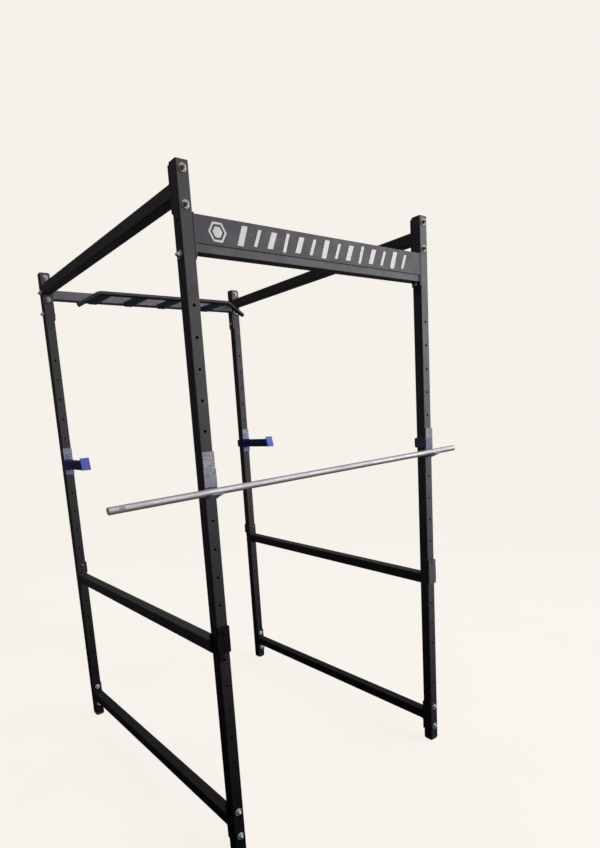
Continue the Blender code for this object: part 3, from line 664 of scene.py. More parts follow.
def rough_block(name, colour):
    """Thick flame-cut plate under thin black paint: pitted faces and bare scraped edges."""
    coat = Coat(name)
    lumps = coat.noise(150.0, 6.0, 0.7)
    pits = coat.noise(480.0, 5.0, 0.7, shift=1.0)
    cloud = coat.noise(45.0, 4.0, 0.6, shift=2.0)
    coat.base(cloud, 0.32, 0.66, tint(colour, 0.7), tint(colour, 1.6))
    coat.lay((0.006, 0.0065, 0.0045), lumps, 0.58, 0.72, 0.0, 0.7)
    coat.lay((0.030, 0.024, 0.017), pits, 0.66, 0.74, 0.0, 0.5)
    rim = coat.times(coat.edges(0.0018), coat.between(pits, 0.34, 0.56))
    coat.lay((0.055, 0.053, 0.050), coat.times(rim, 0.85))
    gleam = coat.between(lumps, 0.3, 0.7, 0.5, 0.8)
    return coat.finish(gleam, (lumps, 0.55, 0.0009), (pits, 0.4, 0.0005), gloss=0.08)


def brushed_marks(name):
    """Brushed bright metal for the raised marks on the sign."""
    coat = Coat(name)
    brushed = coat.noise(1.0, 5.0, 0.6, stretch=(40.0, 40.0, 1400.0))
    cloud = coat.noise(30.0, 4.0, 0.6, shift=1.0)
    coat.base(brushed, 0.3, 0.7, (0.30, 0.285, 0.28), (0.40, 0.385, 0.375))
    coat.lay((0.29, 0.275, 0.265), cloud, 0.5, 0.75, 0.0, 0.35)
    coat.lay((0.15, 0.15, 0.155), coat.times(coat.edges(0.0005), 0.6))
    return coat.finish(coat.between(brushed, 0.3, 0.7, 0.34, 0.5), (brushed, 0.12, 0.0002), metallic=0.5)


POST_X = {side_name: centre(f"Upright_Front_{side_name}").x for side_name, _ in SIDES}
# underside of the loose bar at each front cup, and its slope
BAR_REST = {"Left": 1.1890, "Right": 1.1985 + ROW_LIFT["Front", "Right"]}
BAR_RISE = (BAR_REST["Right"] - BAR_REST["Left"]) / (POST_X["Right"] - POST_X["Left"])
# the low gloss share given to a post is how much of its gloss the painted shade leaves at the floor
POST_LOOKS = {
    ("Front", "Left"): dict(colour=(0.0172, 0.0153, 0.0150), seed=1.0, gloss=0.33, painted_shade_gloss=0.10),
    ("Front", "Right"): dict(colour=(0.032, 0.029, 0.032), rough=0.40, seed=8.0, painted_shade_gloss=0.30),
    ("Rear", "Left"): dict(colour=(0.016, 0.0155, 0.0145), seed=15.0, gloss=0.34),
    ("Rear", "Right"): dict(colour=(0.0195, 0.0185, 0.0172), rough=0.44, seed=22.0, gloss=0.34,
                            painted_shade_gloss=0.45),
}
POST_COATS = {}
for (end_name, side_name), look in POST_LOOKS.items():
    rows = (POST_X[side_name], ROW_LIFT[end_name, side_name], raised_holes(end_name, side_name))
    POST_COATS[end_name, side_name] = powder(f"{end_name}_{side_name}_Coat", holes_at=rows, **look)
TOP_COAT = powder("Top_Beam_Coat", (0.020, 0.020, 0.0205), 0.40, seed=31.0)
BOTTOM_COAT = powder("Bottom_Beam_Coat", (0.016, 0.0155, 0.018), seed=37.0, dust=0.75)
SAFETY_COAT = powder("Safety_Bar_Coat", (0.015, 0.015, 0.0155), wear=0.8, seed=41.0, dust=0.65)
CROSS_COAT = powder("Front_Crossmember_Coat", (0.027, 0.026, 0.030), 0.38, seed=47.0, gloss=0.35)
SIGN_COAT = powder("Sign_Coat", (0.0145, 0.0135, 0.021), 0.33, seed=53.0, gloss=0.29, dust=0.2)
REAR_COAT = powder("Rear_Crossmember_Coat", (0.058, 0.050, 0.068), 0.36, seed=59.0, gloss=0.5, dust=0.3)
GRIP_COAT = powder("Pull_Up_Bar_Coat", (0.013, 0.0125, 0.016), 0.36, wear=0.7, seed=61.0, gloss=0.30)
STRUT_COAT = powder("Pull_Up_Strut_Coat", (0.013, 0.030, 0.085), 0.36, seed=67.0, gloss=0.5, dust=0.3)
# painted light: the cradle gets a much lighter copy of its hook's blue, standing in for light on its face
# that tilts down and forward
CRADLE_LIT_BLUE = powder("Cup_Front_Blue_Lit_Coat", (0.260, 0.270, 0.400), 0.38, wear=0.7, seed=73.0, gloss=0.5,
                     dust=0.15, worn=(0.20, 0.22, 0.33))
STRAP_BLUE = powder("Cup_Front_Band_Coat", (0.045, 0.050, 0.090), seed=89.0, gloss=0.5, dust=0.1,
                    worn=(0.12, 0.13, 0.20))
ARM_BLUE = powder("Cup_Rear_Blue_Coat", (0.007, 0.012, 0.120), seed=79.0, gloss=0.3, dust=0.1,
                  worn=(0.06, 0.08, 0.28))
# painted light: the lip gets a much lighter copy of its arm's blue, standing in for light on its face that
# leans to the front
LIP_LIT_BLUE = powder("Cup_Rear_Lip_Lit_Coat", (0.062, 0.090, 0.410), 0.46, wear=0.3, seed=83.0, gloss=0.3, dust=0.0,
                  worn=(0.16, 0.19, 0.52))
BRACKET_GREY = powder("Bracket_Grey_Coat", (0.060, 0.060, 0.062), 0.44, wear=0.8, seed=71.0, gloss=0.5)
BRACKET_ROUGH = rough_block("Bracket_Rough_Coat", (0.0016, 0.0017, 0.0014))
PLATE_LOW, PLATE_HIGH = (corner.z for corner in corners("Cup_Plate_Front_Left"))
BLUE_EDGE = 1.2620 + ROW_LIFT["Front", "Right"]     # the right plate is painted below this height
CUP_ZINC = {
    ("Front", "Left"): galvanised("Cup_Front_Galvanised", (0.180, 0.180, 0.190), (0.085, 0.095, 0.16),
                                  PLATE_LOW, PLATE_LOW + 0.075, 0.35),
    ("Front", "Right"): galvanised("Cup_Front_Galvanised_Blue", (0.150, 0.150, 0.160), (0.075, 0.092, 0.150),
                                   BLUE_EDGE, BLUE_EDGE + 0.006, 0.95, seed=4.0),
}
REAR_CUP_ZINC = galvanised("Cup_Rear_Galvanised", (0.150, 0.160, 0.235), (0.075, 0.095, 0.30),
                           PLATE_LOW, PLATE_HIGH, 0.55, seed=9.0)
BOLT_ZINC = zinc("Bolt_Zinc", (0.215, 0.21, 0.20), 0.42)
REAR_BOLT_ZINC = zinc("Rear_Bolt_Zinc", (0.24, 0.24, 0.235), 0.45, seed=7.0)
LOW_BOLT_ZINC = zinc("Low_Bolt_Zinc", (0.52, 0.56, 0.62), 0.36, seed=13.0)
CROSS_BOLT_ZINC = zinc("Cross_Bolt_Zinc", (0.66, 0.65, 0.63), 0.40, seed=11.0)
PIN_ZINC = zinc("Pin_Zinc", (0.10, 0.10, 0.098), 0.42, seed=5.0)
BAR_STEEL = weathered_steel("Bar_Steel", *corners("Bar"))
FOOT_RUBBER = rubber("Foot_Rubber", (0.012, 0.012, 0.012))
MARK_METAL = brushed_marks("Sign_Mark_Metal")


# ---- uprights and feet ----
def drill(drills, axis, middle, along):
    """Round cutter through the tube, a little wider at both of its faces."""
    past, lip, wide = 0.002, 0.0005, HOLE_R + 0.0025
    profile = [(-HALF - past, wide), (-HALF + lip, HOLE_R), (HALF - lip, HOLE_R), (HALF + past, wide)]
    drills.turn(axis, middle, [(along + step, radius) for step, radius in profile], 28)


def upright(end, side_name):
    node = f"Upright_{end}_{side_name}"
    low, high = corners(node)
    cx, cy = centre(node).xy
    shell = Solid().bar("Z", (cx, cy), (HALF, HALF), TUBE_ROUND, low.z, high.z, 0.0009)
    inner, lid, below = HALF - WALL, 0.003, -0.05
    bore = Solid().bar("Z", (cx, cy), (inner, inner), TUBE_ROUND - WALL * 0.6, below, high.z - lid, 0.0002)
    mesh = subtract(to_mesh(node, shell), to_mesh("bore", bore))
    drills = Solid()
    for z in [hole_z(i, end, side_name) for i in range(HOLE_COUNT)] + list(TOP_HOLES):
        drill(drills, "Y", (cx, z), cy)
    for z in CROSS_HOLES[end]:
        drill(drills, "X", (cy, z), cx)
    mesh = subtract(mesh, to_mesh("drills", drills))
    piece(f"Post_{end}_{side_name}", mesh, POST_COATS[end, side_name], f"upright_{end.lower()}_coat", node)


def foot(end, side_name):
    """Moulded cap: rounded sole, a groove below its shoulder and a plug inside the tube."""
    node = f"Foot_Cap_{end}_{side_name}"
    middle = centre(node).xy
    top = corners(node)[1].z
    groove, plug = HALF - 0.0006, HALF - WALL - GAP
    levels = [(0.0, 0.0095), (0.0004, 0.0112), (0.0012, 0.0133), (0.0024, 0.0153), (0.0040, 0.0171),
              (0.0060, 0.0185), (0.0082, 0.0194), (0.0104, HALF), (0.0118, HALF), (0.0121, groove),
              (0.0127, groove), (0.0130, HALF), (0.0155, HALF), (0.0160, HALF - 0.0005), (0.0160, plug),
              (top - 0.002, plug), (top, HALF - WALL - 0.0012)]
    loops = []
    for z, half in levels:
        outline = rounded_rect(middle, (half, half), TUBE_ROUND + (HALF - half) * 0.35)
        loops.append([(a, b, z) for a, b in outline])
    piece(f"Foot_{end}_{side_name}", Solid().loft(loops), FOOT_RUBBER, "foot_rubber", node)


for end_name, _ in ENDS:
    for side_name, _ in SIDES:
        upright(end_name, side_name)
        foot(end_name, side_name)


# ---- beams ----
CROSS_TUBE_Z = (1.867, 1.893)
CROSS_TUBE_DEEP = 0.036
REAR_TUBE_Z = 2.008
FLAT_ROUND = 0.0026             # corner radius of the flat tube and the struts
TOP_DROP = 0.003                # the top beams' tubes sit below their plates' middle


def side_beam(node, coat, slot, seed, drop):
    """Square tube with an end plate welded round each end."""
    low, high = corners(node)
    middle = centre(node).xz
    tube = ((middle.x, middle.y - drop), (HALF, HALF), TUBE_ROUND)
    solid = Solid().bar("Y", *tube, low.y + PLATE_T / 2, high.y - PLATE_T / 2)
    outline = rounded_rect(middle, (high - low).xz / 2, PLATE_ROUND)
    solid.end_plates("Y", outline, (low.y, high.y), tube, bead=0.0022, seed=seed)
    piece(node.replace("Side_Beam", "Rail"), solid, coat, slot, node)


def front_crossmember():
    """Flat tube along the rear of its deep end plates, whose lower corners are cut off."""
    node = "Front_Crossmember"
    low, high = corners(node)
    half = (CROSS_TUBE_DEEP / 2, (CROSS_TUBE_Z[1] - CROSS_TUBE_Z[0]) / 2)
    tube = ((high.y - half[0], sum(CROSS_TUBE_Z) / 2), half, FLAT_ROUND)
    solid = Solid().bar("X", *tube, low.x + PLATE_T / 2, high.x - PLATE_T / 2)
    cut = 0.008
    outline = [(low.y + cut, low.z), (high.y - cut, low.z), (high.y, low.z + cut), (high.y, high.z),
               (low.y, high.z), (low.y, low.z + cut)]
    solid.end_plates("X", fillet(outline, 0.0016), (low.x, high.x), tube, bead=0.0019, seed=31)
    piece("Front_Crosspiece", solid, CROSS_COAT, "front_crossmember_coat", node)


def sign():
    """Plain plate with a generic row of raised slanted bars and a hexagon."""
    node = "Sign_Plate"
    low, high = corners(node)
    middle = centre(node).xz
    outline = rounded_rect(middle, (high - low).xz / 2, 0.002, 3)
    piece("Sign_Panel", Solid().block("Y", outline, low.y, high.y, 0.0005), SIGN_COAT, "sign_coat", node)
    marks = Solid()
    ease = 0.0002
    front, back = low.y - 0.0009, low.y + ease      # the marks stand 0.9 mm proud
    span = high.x - low.x
    row_z = middle.y - 0.002
    hexagon = (low.x + span * 0.075, row_z)
    ring_out, ring_in, core = 0.0305, 0.0235, 0.0165
    ring = [(front + ease, ring_in + ease), (front, ring_in + 0.0006), (front, ring_out - 0.0006),
            (front + ease, ring_out), (back, ring_out), (back, ring_in)]
    marks.turn("Y", hexagon, ring, 6, closed=True)
    marks.turn("Y", hexagon, [(back, core), (front + ease, core), (front, core - 0.0006)], 6)
    count, slant = 14, 0.010
    first = low.x + span * 0.165
    step = (high.x - span * 0.095 - first) / (count - 1)
    for i in range(count):
        x = first + step * i
        tall = 0.0245 if i % 3 else 0.0285
        wide = 0.0062 if i % 2 else 0.0105
        outline = [(x - wide - slant, row_z - tall), (x + wide - slant, row_z - tall),
                   (x + wide + slant, row_z + tall), (x - wide + slant, row_z + tall)]
        marks.block("Y", fillet(outline, 0.0015, 2), front, back, 0.0003)
    piece("Sign_Marks", marks, MARK_METAL, "sign_coat", body=body_of(frame["nodes"][node])[0])


def rear_crossmember():
    node = "Rear_Crossmember"
    low, high = corners(node)
    middle = centre(node).yz
    tube = ((middle.x, REAR_TUBE_Z), (HALF, HALF), TUBE_ROUND)
    solid = Solid().bar("X", *tube, low.x + PLATE_T / 2, high.x - PLATE_T / 2)
    outline = rounded_rect(middle, (HALF, (high.z - low.z) / 2), PLATE_ROUND)
    solid.end_plates("X", outline, (low.x, high.x), tube, bead=0.0022, seed=41)
    piece("Rear_Crosspiece", solid, REAR_COAT, "rear_crossmember_coat", node)


for number, (side_name, _) in enumerate(SIDES):
    side_beam(f"Top_Side_Beam_{side_name}", TOP_COAT, "top_beam_coat", 11 + number, TOP_DROP)
    side_beam(f"Bottom_Side_Beam_{side_name}", BOTTOM_COAT, "bottom_beam_coat", 21 + number, 0.0)
front_crossmember()
sign()
rear_crossmember()


# ---- pull-up bar ----
def rounded_path(points, radius, steps=10):
    """Open path whose corners are arcs."""
    spots = [Vector(p) for p in points]
    out = [spots[0]]
    for before, here, after in zip(spots, spots[1:], spots[2:]):
        back = (before - here).normalized()
        ahead = (after - here).normalized()
        bend = math.pi - back.angle(ahead)
        reach = radius * math.tan(bend / 2)
        hub = here + (back + ahead).normalized() * (radius / math.cos(bend / 2))
        a, b = here + back * reach - hub, here + ahead * reach - hub
        for k in range(steps + 1):
            turn = bend * k / steps
            out.append(hub + (a * math.sin(bend - turn) + b * math.sin(turn)) / math.sin(bend))
    return out + [spots[-1]]


def pull_up_bar():
    """Straight grip whose ends bend down, outwards and back."""
    node = "Pull_Up_Bar"
    low, high = corners(node)
    cx = centre(node).x
    radius, bend_x, end_x = 0.010, 0.331, 0.428
    y, z = low.y + radius, high.z - radius
    end_y, end_z = y + 0.016, z - 0.053
    path = [(cx - end_x, end_y, end_z), (cx - bend_x, y, z), (cx + bend_x, y, z), (cx + end_x, end_y, end_z)]
    spots = rounded_path(path, 0.055)
    whole = [spots[0]]
    for before, here in zip(spots, spots[1:]):
        parts = max(1, int((here - before).length / 0.03))
        whole += [before.lerp(here, k / parts) for k in range(1, parts + 1)]
    piece("Grip_Bar", Solid().sweep(whole, radius, 28), GRIP_COAT, "pull_up_bar_coat", node)


def strut(number):
    node = f"Pull_Up_Strut_{number}"
    low, high = corners(node)
    bar = (centre(node).xz, (high - low).xz / 2, FLAT_ROUND)
    rim = 0.0004
    solid = Solid().bar("Y", *bar, low.y, high.y, rim)
    for along in (low.y + rim, high.y - rim):
        solid.weld("Y", *bar, along, bead=0.0017, seed=50 + number + along)
    piece(f"Grip_Strut_{number}", solid, STRUT_COAT, "pull_up_strut_coat", node)


pull_up_bar()
for number in range(1, 5):
    strut(number)


# ---- safety bars ----
SAFETY_TUBE = 0.711                                 # centre height of a level safety bar
SAFETY_TAB = (0.686, 0.786)
WRAP_LOW = 0.737
SAFETY_LIFT = {-1: (0.0, 0.0), 1: (0.006, 0.026)}   # rise at the front and rear uprights
SADDLE_SIDE = (0.702, 0.756)
SADDLE_T = 0.007
SHEET_T = 0.003
TONGUE = 0.025                                      # how far the left bracket's tongue hangs down
BRACKET_LOOKS = {"Left": (BRACKET_ROUGH, "bracket_rough_coat"), "Right": (BRACKET_GREY, "bracket_grey_coat")}


def safety_bar(side_name, side):
    """Square tube with a rear tab and wrap, sheared so that it rises by its own amount at each end."""
    node = f"Safety_Bar_{side_name}"
    cx = POST_X[side_name]
    low, high = corners(node)
    face = corners(f"Upright_Rear_{side_name}")[0].y - GAP
    tube = ((cx, SAFETY_TUBE), (HALF, HALF), TUBE_ROUND)
    solid = Solid().bar("Y", *tube, low.y, face - PLATE_T / 2)
    tab = box_outline((cx - HALF, SAFETY_TAB[0]), (cx + HALF, SAFETY_TAB[1]))
    solid.plate("Y", tab, face - PLATE_T, face)
    solid.weld("Y", *tube, face - PLATE_T, bead=0.0021, seed=61 + side)
    inner = cx - side * (HALF + GAP)
    wrap = box_outline((face - PLATE_T, WRAP_LOW), (high.y, SAFETY_TAB[1]))
    solid.plate("X", wrap, inner, inner - side * SHEET_T)
    link = box_outline((face - PLATE_T + GAP, WRAP_LOW + 0.0015), (face - GAP, SAFETY_TAB[1] - 0.0015))
    solid.plate("X", link, cx - side * (HALF - 0.004), inner - side * 0.0014, 0.0003)
    mesh = to_mesh(node, solid)
    front_rise, rear_rise = SAFETY_LIFT[side]
    slope = (rear_rise - front_rise) / (face - low.y)
    for vertex in mesh.vertices:
        vertex.co.z += front_rise + slope * (vertex.co.y - low.y)
    piece(f"Catch_Bar_{side_name}", mesh, SAFETY_COAT, "safety_bar_coat", node)


def safety_bracket(side_name, side):
    """Thick front plate welded to a side plate; the left one keeps a short tongue at its low corner."""
    node = f"Safety_Front_Bracket_{side_name}"
    low, high = corners(node)
    cx = POST_X[side_name]
    half = HALF + 0.001
    foot_z = low.z + (TONGUE if side < 0 else 0.0)
    outline = [(cx + half, foot_z), (cx + half, high.z), (cx - half, high.z), (cx - half, low.z)]
    if side < 0:
        outline += [(cx - half + 0.013, low.z), (cx - half + 0.017, foot_z)]
    back = low.y + SADDLE_T
    solid = Solid().plate("Y", outline, low.y, back, 0.0012, 0.0032)
    near = cx + side * (HALF + GAP)
    side_low, side_high = (z + SAFETY_LIFT[side][0] for z in SADDLE_SIDE)
    cheek = box_outline((low.y + 0.001, side_low), (high.y, side_high))
    solid.plate("X", cheek, near, near + side * SHEET_T, 0.0008, 0.003)
    bead_x, short, steps = cx + side * (HALF + 0.0016), 0.002, 20
    rises = [side_low + short + (side_high - side_low - 2 * short) * i / steps for i in range(steps + 1)]
    path = [(bead_x, back - 0.0012, z) for z in rises] + [(bead_x, back - 0.0034, z) for z in reversed(rises)]
    solid.bead(path, 0.0013, 71 + side, spacing=0.0018)
    piece(f"Catch_Bracket_{side_name}", solid, *BRACKET_LOOKS[side_name], node)


def safety_pin(end, side_name):
    """Headed pin: zinc plated at the rear, painted over with its bracket at the front."""
    node = f"Safety_Pin_{end}_{side_name}"
    low, high = corners(node)
    reach = (high.x - low.x) / 2
    thick = 0.005 if end == "Rear" else 0.0025
    head = [(0.0, 0.45), (0.06, 0.62), (0.22, 0.84), (0.42, 0.97), (0.56, 1.0), (0.84, 1.0)]
    profile = [(low.y + thick * share, reach * width) for share, width in head]
    profile += [(low.y + thick * 0.96, reach - 0.0006), (low.y + thick * 0.98, BOLT_R + 0.0006),
                (low.y + thick + GAP, BOLT_R), (high.y - 0.0012, BOLT_R), (high.y - 0.0003, BOLT_R - 0.0006),
                (high.y, BOLT_R - 0.0016)]
    look = (PIN_ZINC, "pin_zinc") if end == "Rear" else BRACKET_LOOKS[side_name]
    piece(f"Catch_Pin_{end}_{side_name}", Solid().turn("Y", centre(node).xz, profile, 36), *look, node)


for side_name, side in SIDES:
    safety_bar(side_name, side)
    safety_bracket(side_name, side)
    for end_name, _ in ENDS:
        safety_pin(end_name, side_name)


# ---- cups ----
BAND = (1.2282, 1.2672)          # heights before the row lift
BAND_T = 0.0035
BAND_PAST = 0.008                # how far the band reaches past the upright's rear face
BACK_T = 0.002                   # strip behind the face plate
FACE_T = 0.003
CRADLE_T = 0.0035
CRADLE_REACH = 0.0455
CRADLE_SLOPE = 0.36
BAR_R = 0.01065                  # radius of the loose bar
BAR_OUT = 0.0059 + BAR_R         # bar axis in front of the upright
ARM_REACH = 0.232
ARM_LIP = 1.2800
LIP_LEAN = 0.014


def cup_plate(end, side_name):
    """Face plate with its pin; the rear ones show a pin head, the front ones only a weld ring."""
    node = f"Cup_Plate_{end}_{side_name}"
    low, high = corners(node)
    cx, face = post_face(end, side_name)
    back = face - GAP - BACK_T - GAP
    front = back - FACE_T
    outline = rounded_rect((cx, (low.z + high.z) / 2), (HALF, (high.z - low.z) / 2), PLATE_ROUND)
    solid = Solid().block("Y", outline, front, back, 0.0006)
    middle = (cx, hole_z(CUP_HOLE, end, side_name))
    pin_end = [(high.y - 0.001, BOLT_R), (high.y, BOLT_R - 0.001)]
    if end == "Rear":
        head = [(0.0, 0.0040), (0.0004, 0.0056), (0.0011, 0.0068), (0.0019, 0.0074)]
        profile = [(low.y + step, radius) for step, radius in head]
        profile += [(front + 0.0002, 0.0075), (front + 0.0006, BOLT_R)]
    else:
        profile = [(back - 0.001, BOLT_R)]
        ring = [(-0.00012, 0.0046), (-0.00016, 0.0049), (-0.00012, 0.0052), (0.0002, 0.0054),
                (0.0002, 0.0044)]
        solid.turn("Y", middle, [(front + step, radius) for step, radius in ring], 32, closed=True)
    solid.turn("Y", middle, profile + pin_end, 32)
    coat = CUP_ZINC.get((end, side_name), REAR_CUP_ZINC)
    piece(f"Cup_Face_{end}_{side_name}", solid, coat, f"cup_{end.lower()}_galvanised", node)


def band(cx, face, side, low_back, lift):
    """Strip behind the face plate and the band that runs back along the upright's inner side."""
    low, high = BAND[0] + lift, BAND[1] + lift
    inner = cx - side * (HALF + GAP)
    rear = face + 2 * HALF + BAND_PAST
    nip = 0.005
    front = face - GAP - BACK_T
    outline = [(front, low), (rear - nip, low), (rear, low + nip), (rear, high - nip), (rear - nip, high),
               (front, high)]
    solid = Solid().plate("X", outline, inner, inner - side * BAND_T, 0.0007, 0.0024)
    a, b = sorted((inner - side * BAND_T, cx + side * HALF))
    return solid.plate("Y", box_outline((a, low_back), (b, high - 0.0005)), front, face - GAP, 0.0004)


def front_hook(side_name, side):
    """Band, and the strip under the bar that slopes up away from the upright."""
    node = f"Cup_Hook_Front_{side_name}"
    cx, face = post_face("Front", side_name)
    stretch = math.hypot(1.0, CRADLE_SLOPE)
    root = BAR_REST[side_name] - BAR_OUT * CRADLE_SLOPE - (BAR_R + GAP) * (stretch - 1.0)
    depth = CRADLE_T * stretch
    start, nose, half = GAP + BACK_T / 2, CRADLE_REACH - 0.0012, 0.0195
    outline = []
    for out, drop in ((start, 1.0), (nose, 1.0), (CRADLE_REACH, 0.6), (nose, 0.0), (start, 0.0)):
        outline.append((face - out, root + out * CRADLE_SLOPE - drop * depth))
    cradle = Solid().plate("X", outline, cx - half, cx + half, 0.0007, 0.0006)
    strap = band(cx, face, side, root - depth, ROW_LIFT["Front", side_name])
    piece(f"Cup_Cradle_Front_{side_name}", cradle, CRADLE_LIT_BLUE, "cup_front_blue", node)
    piece(f"Cup_Strap_Front_{side_name}", strap, STRAP_BLUE, "cup_front_blue", node)


def rear_hook(side_name, side):
    """Band, and the square arm that flares at its root and ends in a leaning plate."""
    node = f"Cup_Hook_Rear_{side_name}"
    cx, face = post_face("Rear", side_name)
    lift = ROW_LIFT["Rear", side_name]
    low, top, lip_top = BAND[0] + lift, BAND[1] + lift, ARM_LIP + lift
    solid = band(cx, face, side, low + 0.0005, lift)
    root = face - GAP - BACK_T - GAP - FACE_T - GAP
    tip = face - ARM_REACH
    flare = [(0.0, 0.004), (0.004, 0.003), (0.009, 0.0008), (0.013, 0.0)]
    outline = [(root - out, top + rise) for out, rise in flare] + [(tip + 0.0095, top), (tip, low)]
    outline += [(root - out, low - rise) for out, rise in reversed(flare)]
    solid.block("X", outline, cx - HALF, cx + HALF, 0.0026, 4)
    neck, sunk = 0.0148, 0.003
    solid.bar("Y", (cx, (low + top) / 2), (neck, neck), 0.002, root - sunk, face - GAP - BACK_T / 2)
    front, back, base = tip - 0.005, tip + 0.001, low - 0.001
    lip = [(back, base), (front, base), (front + LIP_LEAN, lip_top), (back + LIP_LEAN, lip_top)]
    half = HALF - 0.0002
    end_plate = Solid().plate("X", lip, cx - half, cx + half, 0.0014, 0.0016)
    piece(f"Cup_Arm_Rear_{side_name}", solid, ARM_BLUE, "cup_rear_blue", node)
    piece(f"Cup_Lip_Rear_{side_name}", end_plate, LIP_LIT_BLUE, "cup_rear_blue", node)


for side_name, side in SIDES:
    for end_name, _ in ENDS:
        cup_plate(end_name, side_name)
    front_hook(side_name, side)
    rear_hook(side_name, side)


# ---- loose bar ----
BAR_BORE = 0.0084


def loose_bar():
    """Pipe with dressed ends and a slightly wavering skin, laid along the slope between the two cups."""
    low, high = corners("Bar")
    outer = (high.y - low.y) / 2
    reach = ((high.x - low.x) / 2 - outer * BAR_RISE) * math.hypot(1.0, BAR_RISE)
    profile = [(-reach + 0.0014, outer)]
    parts, waver = 72, 0.00012
    for i in range(1, parts):
        skin = outer - waver * (0.5 + 0.5 * math.sin(i * 1.7))
        profile.append((-reach + 2 * reach * i / parts, skin))
    outside = [(0.0014, outer), (0.0004, outer - 0.0005), (0.0, outer - 0.0011)]
    inside = [(0.0, BAR_BORE + 0.0004), (0.0006, BAR_BORE)]
    profile += [(reach - step, radius) for step, radius in outside + inside]
    profile += [(step - reach, radius) for step, radius in reversed(outside[1:] + inside)]
    mesh = to_mesh("Loose_Bar", Solid().turn("X", (0.0, 0.0), profile, 48, closed=True))
    mesh.transform(Matrix.Translation(centre("Bar")) @ Matrix.Rotation(-math.atan(BAR_RISE), 4, "Y"))
    piece("Loose_Bar", mesh, BAR_STEEL, "bar_steel", "Bar")


loose_bar()


# ---- fasteners ----
STUB = 0.005                    # thread that stands past the nut
NUT_T = 0.0065
NUT_CORNER = 0.0075
WASHER_T = 0.0018
WASHER_R = 0.012


def washer(solid, axis, middle, near, way):
    """Flat washer with turned edges; near is the face that is seen, way the direction of its far one."""
    edge, bore = WASHER_R - 0.0003, BOLT_R + 0.0002
    outline = [(0.35, WASHER_R), (0.1, edge), (0.0, WASHER_R - 0.0008), (0.0, BOLT_R + 0.0007),
               (0.0003 / WASHER_T, bore), (1.0, bore), (1.0, edge), (0.7, WASHER_R)]
    profile = [(near + way * WASHER_T * share, radius) for share, radius in outline]
    solid.turn(axis, middle, profile, 40, closed=True)


def bolt_set(node, axis, seen):
    """Threaded end, nut and washer on the seen side; head on the other, with a washer under it on bolts along
    Y.
    """
    low, high = corners(node)
    index = "XYZ".index(axis)
    middle = [centre(node)[i] for i in range(3) if i != index]
    tip, end = (low[index], high[index]) if seen < 0 else (high[index], low[index])
    way = -seen
    nut = tip + way * STUB
    seat = nut + way * NUT_T
    head = end - way * NUT_T
    overlap = way * 0.001
    solid = Solid().thread(axis, middle, *sorted((tip, nut + overlap)), BOLT_R)
    solid.hexagon(axis, middle, *sorted((nut, seat)), NUT_CORNER)
    washer(solid, axis, middle, seat, way)
    solid.turn(axis, middle, [(along, BOLT_R) for along in sorted((seat, head + overlap))], 24)
    solid.hexagon(axis, middle, *sorted((head, end)), NUT_CORNER, chamfer_low=way < 0, chamfer_high=way > 0)
    if axis == "Y":
        washer(solid, axis, middle, head, -way)
    coat = REAR_BOLT_ZINC if "_Rear_" in node else BOLT_ZINC
    if axis == "X":
        coat = CROSS_BOLT_ZINC
    elif node.startswith("Bottom"):
        coat = LOW_BOLT_ZINC
    piece(node + "_Set", solid, coat, "bolt_zinc", node)


for level in ("Top", "Bottom"):
    for end_name, end_sign in ENDS:
        for side_name, _ in SIDES:
            for position in ("Lower", "Upper"):
                bolt_set(f"{level}_Bolt_{end_name}_{side_name}_{position}", "Y", end_sign)
for side_name, side in SIDES:
    bolt_set(f"Cross_Bolt_Front_{side_name}", "X", side)
    for position in ("Lower", "Upper"):
        bolt_set(f"Cross_Bolt_Rear_{side_name}_{position}", "X", side)


# ---- floor, light and camera ----
PALE = (0.922, 0.880, 0.823)
COOL = (0.96, 0.955, 1.0)
FLOOR_HALF = 14.0
FLOOR_FADE = (2.2, 6.5)         # distances at which the floor starts and ends to thin out
FLOOR_GLOW = 0.91
LOBES = (((0.45, -0.85, 0.25), 0.30, 0.95, 0.80), ((0.88, -0.42, 0.22), 0.55, 1.0, 1.10),
         ((0.0, 0.0, 1.0), 0.20, 1.0, 0.45))      # way, where it starts, where it is full, gain


def floor():
    """Pale studio floor that thins out into the backdrop far from the cage."""
    work = bmesh.new()
    bmesh.ops.create_grid(work, x_segments=24, y_segments=24, size=FLOOR_HALF)
    mesh = bpy.data.meshes.new("Studio_Floor")
    work.to_mesh(mesh)
    work.free()
    coat = Coat("Studio_Floor")
    cloud = coat.noise(1.3, 4.0, 0.5)
    grain = coat.noise(60.0, 3.0, 0.5, shift=1.0)
    coat.base(cloud, 0.3, 0.7, tint(PALE, 0.985), PALE)
    coat.feed(coat.shader.inputs["Emission Color"], coat.tone)
    coat.lay(BLACK, 0.84)       # most of its brightness is its own glow, so shadows stay faint
    coat.feed(coat.shader.inputs["Emission Strength"], FLOOR_GLOW)
    coat.finish(coat.between(grain, 0.3, 0.7, 0.82, 0.9), (grain, 0.02, 0.0005), gloss=0.0)
    distance = coat.node("ShaderNodeVectorMath", {0: coat.place}, operation="LENGTH").outputs["Value"]
    clear = coat.node("ShaderNodeBsdfTransparent").outputs[0]
    share = coat.between(distance, *FLOOR_FADE)
    output = next(n for n in coat.tree.nodes if n.type == "OUTPUT_MATERIAL")
    coat.feed(output.inputs["Surface"], coat.mix_shaders(share, coat.shader.outputs[0], clear))
    mesh.materials.append(coat.material)
    made = bpy.data.objects.new("Studio_Floor", mesh)
    made.location = (0.0, 0.0, -0.0004)
    made.visible_glossy = False
    made.visible_diffuse = False
    bpy.context.scene.collection.objects.link(made)


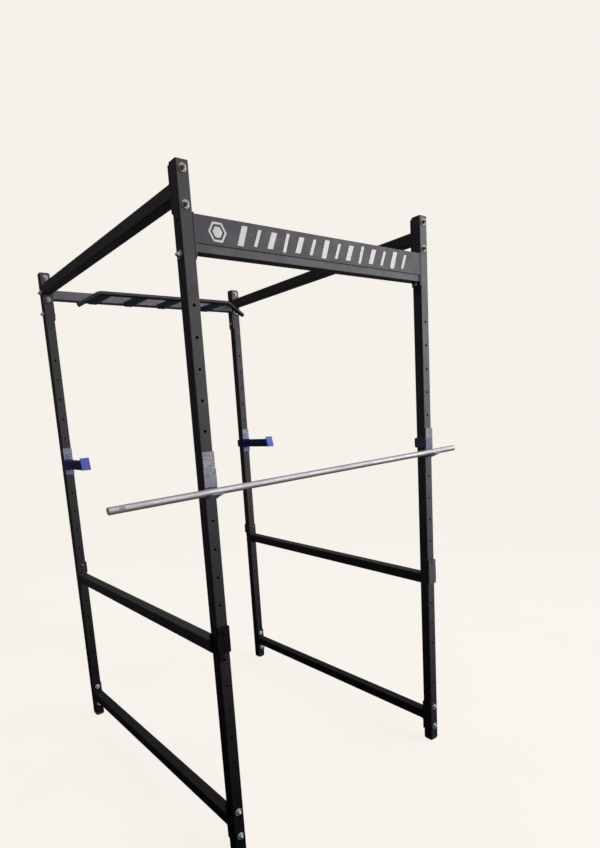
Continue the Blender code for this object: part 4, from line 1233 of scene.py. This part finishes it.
def world():
    """Pale backdrop; what the gloss sees is brighter above and to the front right, darker to the left."""
    made = bpy.data.worlds.new("Studio")
    bpy.context.scene.world = made
    made.use_nodes = True
    made.node_tree.nodes.clear()
    graph = Graph(made.node_tree)
    way = graph.node("ShaderNodeTexCoord").outputs["Generated"]
    total = 0.075               # light from everywhere else
    for aim, start, full, gain in LOBES:
        lobe = graph.between(graph.along(way, Vector(aim).normalized()), start, full, 0.0, gain)
        total = graph.plus(lobe, total)
    total = graph.times(total, graph.between(graph.split(way)[2], -0.66, -0.16, 0.06, 1.0))
    light = graph.node("ShaderNodeBackground", {"Color": COOL, "Strength": total})
    backdrop = graph.node("ShaderNodeBackground", {"Color": PALE})
    seen = graph.node("ShaderNodeLightPath").outputs["Is Camera Ray"]
    both = graph.mix_shaders(seen, light.outputs[0], backdrop.outputs[0])
    graph.node("ShaderNodeOutputWorld", {"Surface": both})


def softbox(name, spot, aim, size, power, colour):
    lamp = bpy.data.lights.new(name, "AREA")
    lamp.shape = "RECTANGLE"
    lamp.size, lamp.size_y = size
    lamp.energy = power
    lamp.color = colour
    made = bpy.data.objects.new(name, lamp)
    made.location = spot
    made.rotation_euler = (Vector(aim) - Vector(spot)).to_track_quat("-Z", "Y").to_euler()
    bpy.context.scene.collection.objects.link(made)


def camera():
    """The photograph's view: position and axes fitted to the cage's corners and hole rows."""
    data = bpy.data.cameras.new("Photo_Camera")
    data.lens = 24.815
    data.sensor_width = 36.0
    data.shift_x = 0.02217
    data.shift_y = 0.11497
    made = bpy.data.objects.new("Photo_Camera", data)
    right = Vector((0.79211901, -0.60681691, -0.06573210))
    up = Vector((0.15563857, 0.09667643, 0.98307187))
    turn = Matrix((right, up, right.cross(up))).transposed().to_4x4()
    made.matrix_world = Matrix.Translation((-1.26758, -2.13256, 1.39491)) @ turn
    bpy.context.scene.collection.objects.link(made)
    bpy.context.scene.camera = made


floor()
world()
softbox("Key_Soft", (2.6, -3.4, 2.6), (0.1, 0.0, 1.1), (2.4, 2.4), 48.0, (1.0, 0.99, 0.98))
softbox("Top_Soft", (0.0, -0.2, 4.6), (0.0, 0.0, 0.0), (4.5, 4.5), 20.0, (1.0, 0.985, 0.965))
softbox("Fill_Soft", (-2.8, -3.0, 1.2), (0.0, 0.0, 1.0), (1.6, 2.0), 2.5, (0.97, 0.98, 1.0))
camera()
bpy.context.scene.view_settings.view_transform = "Standard"
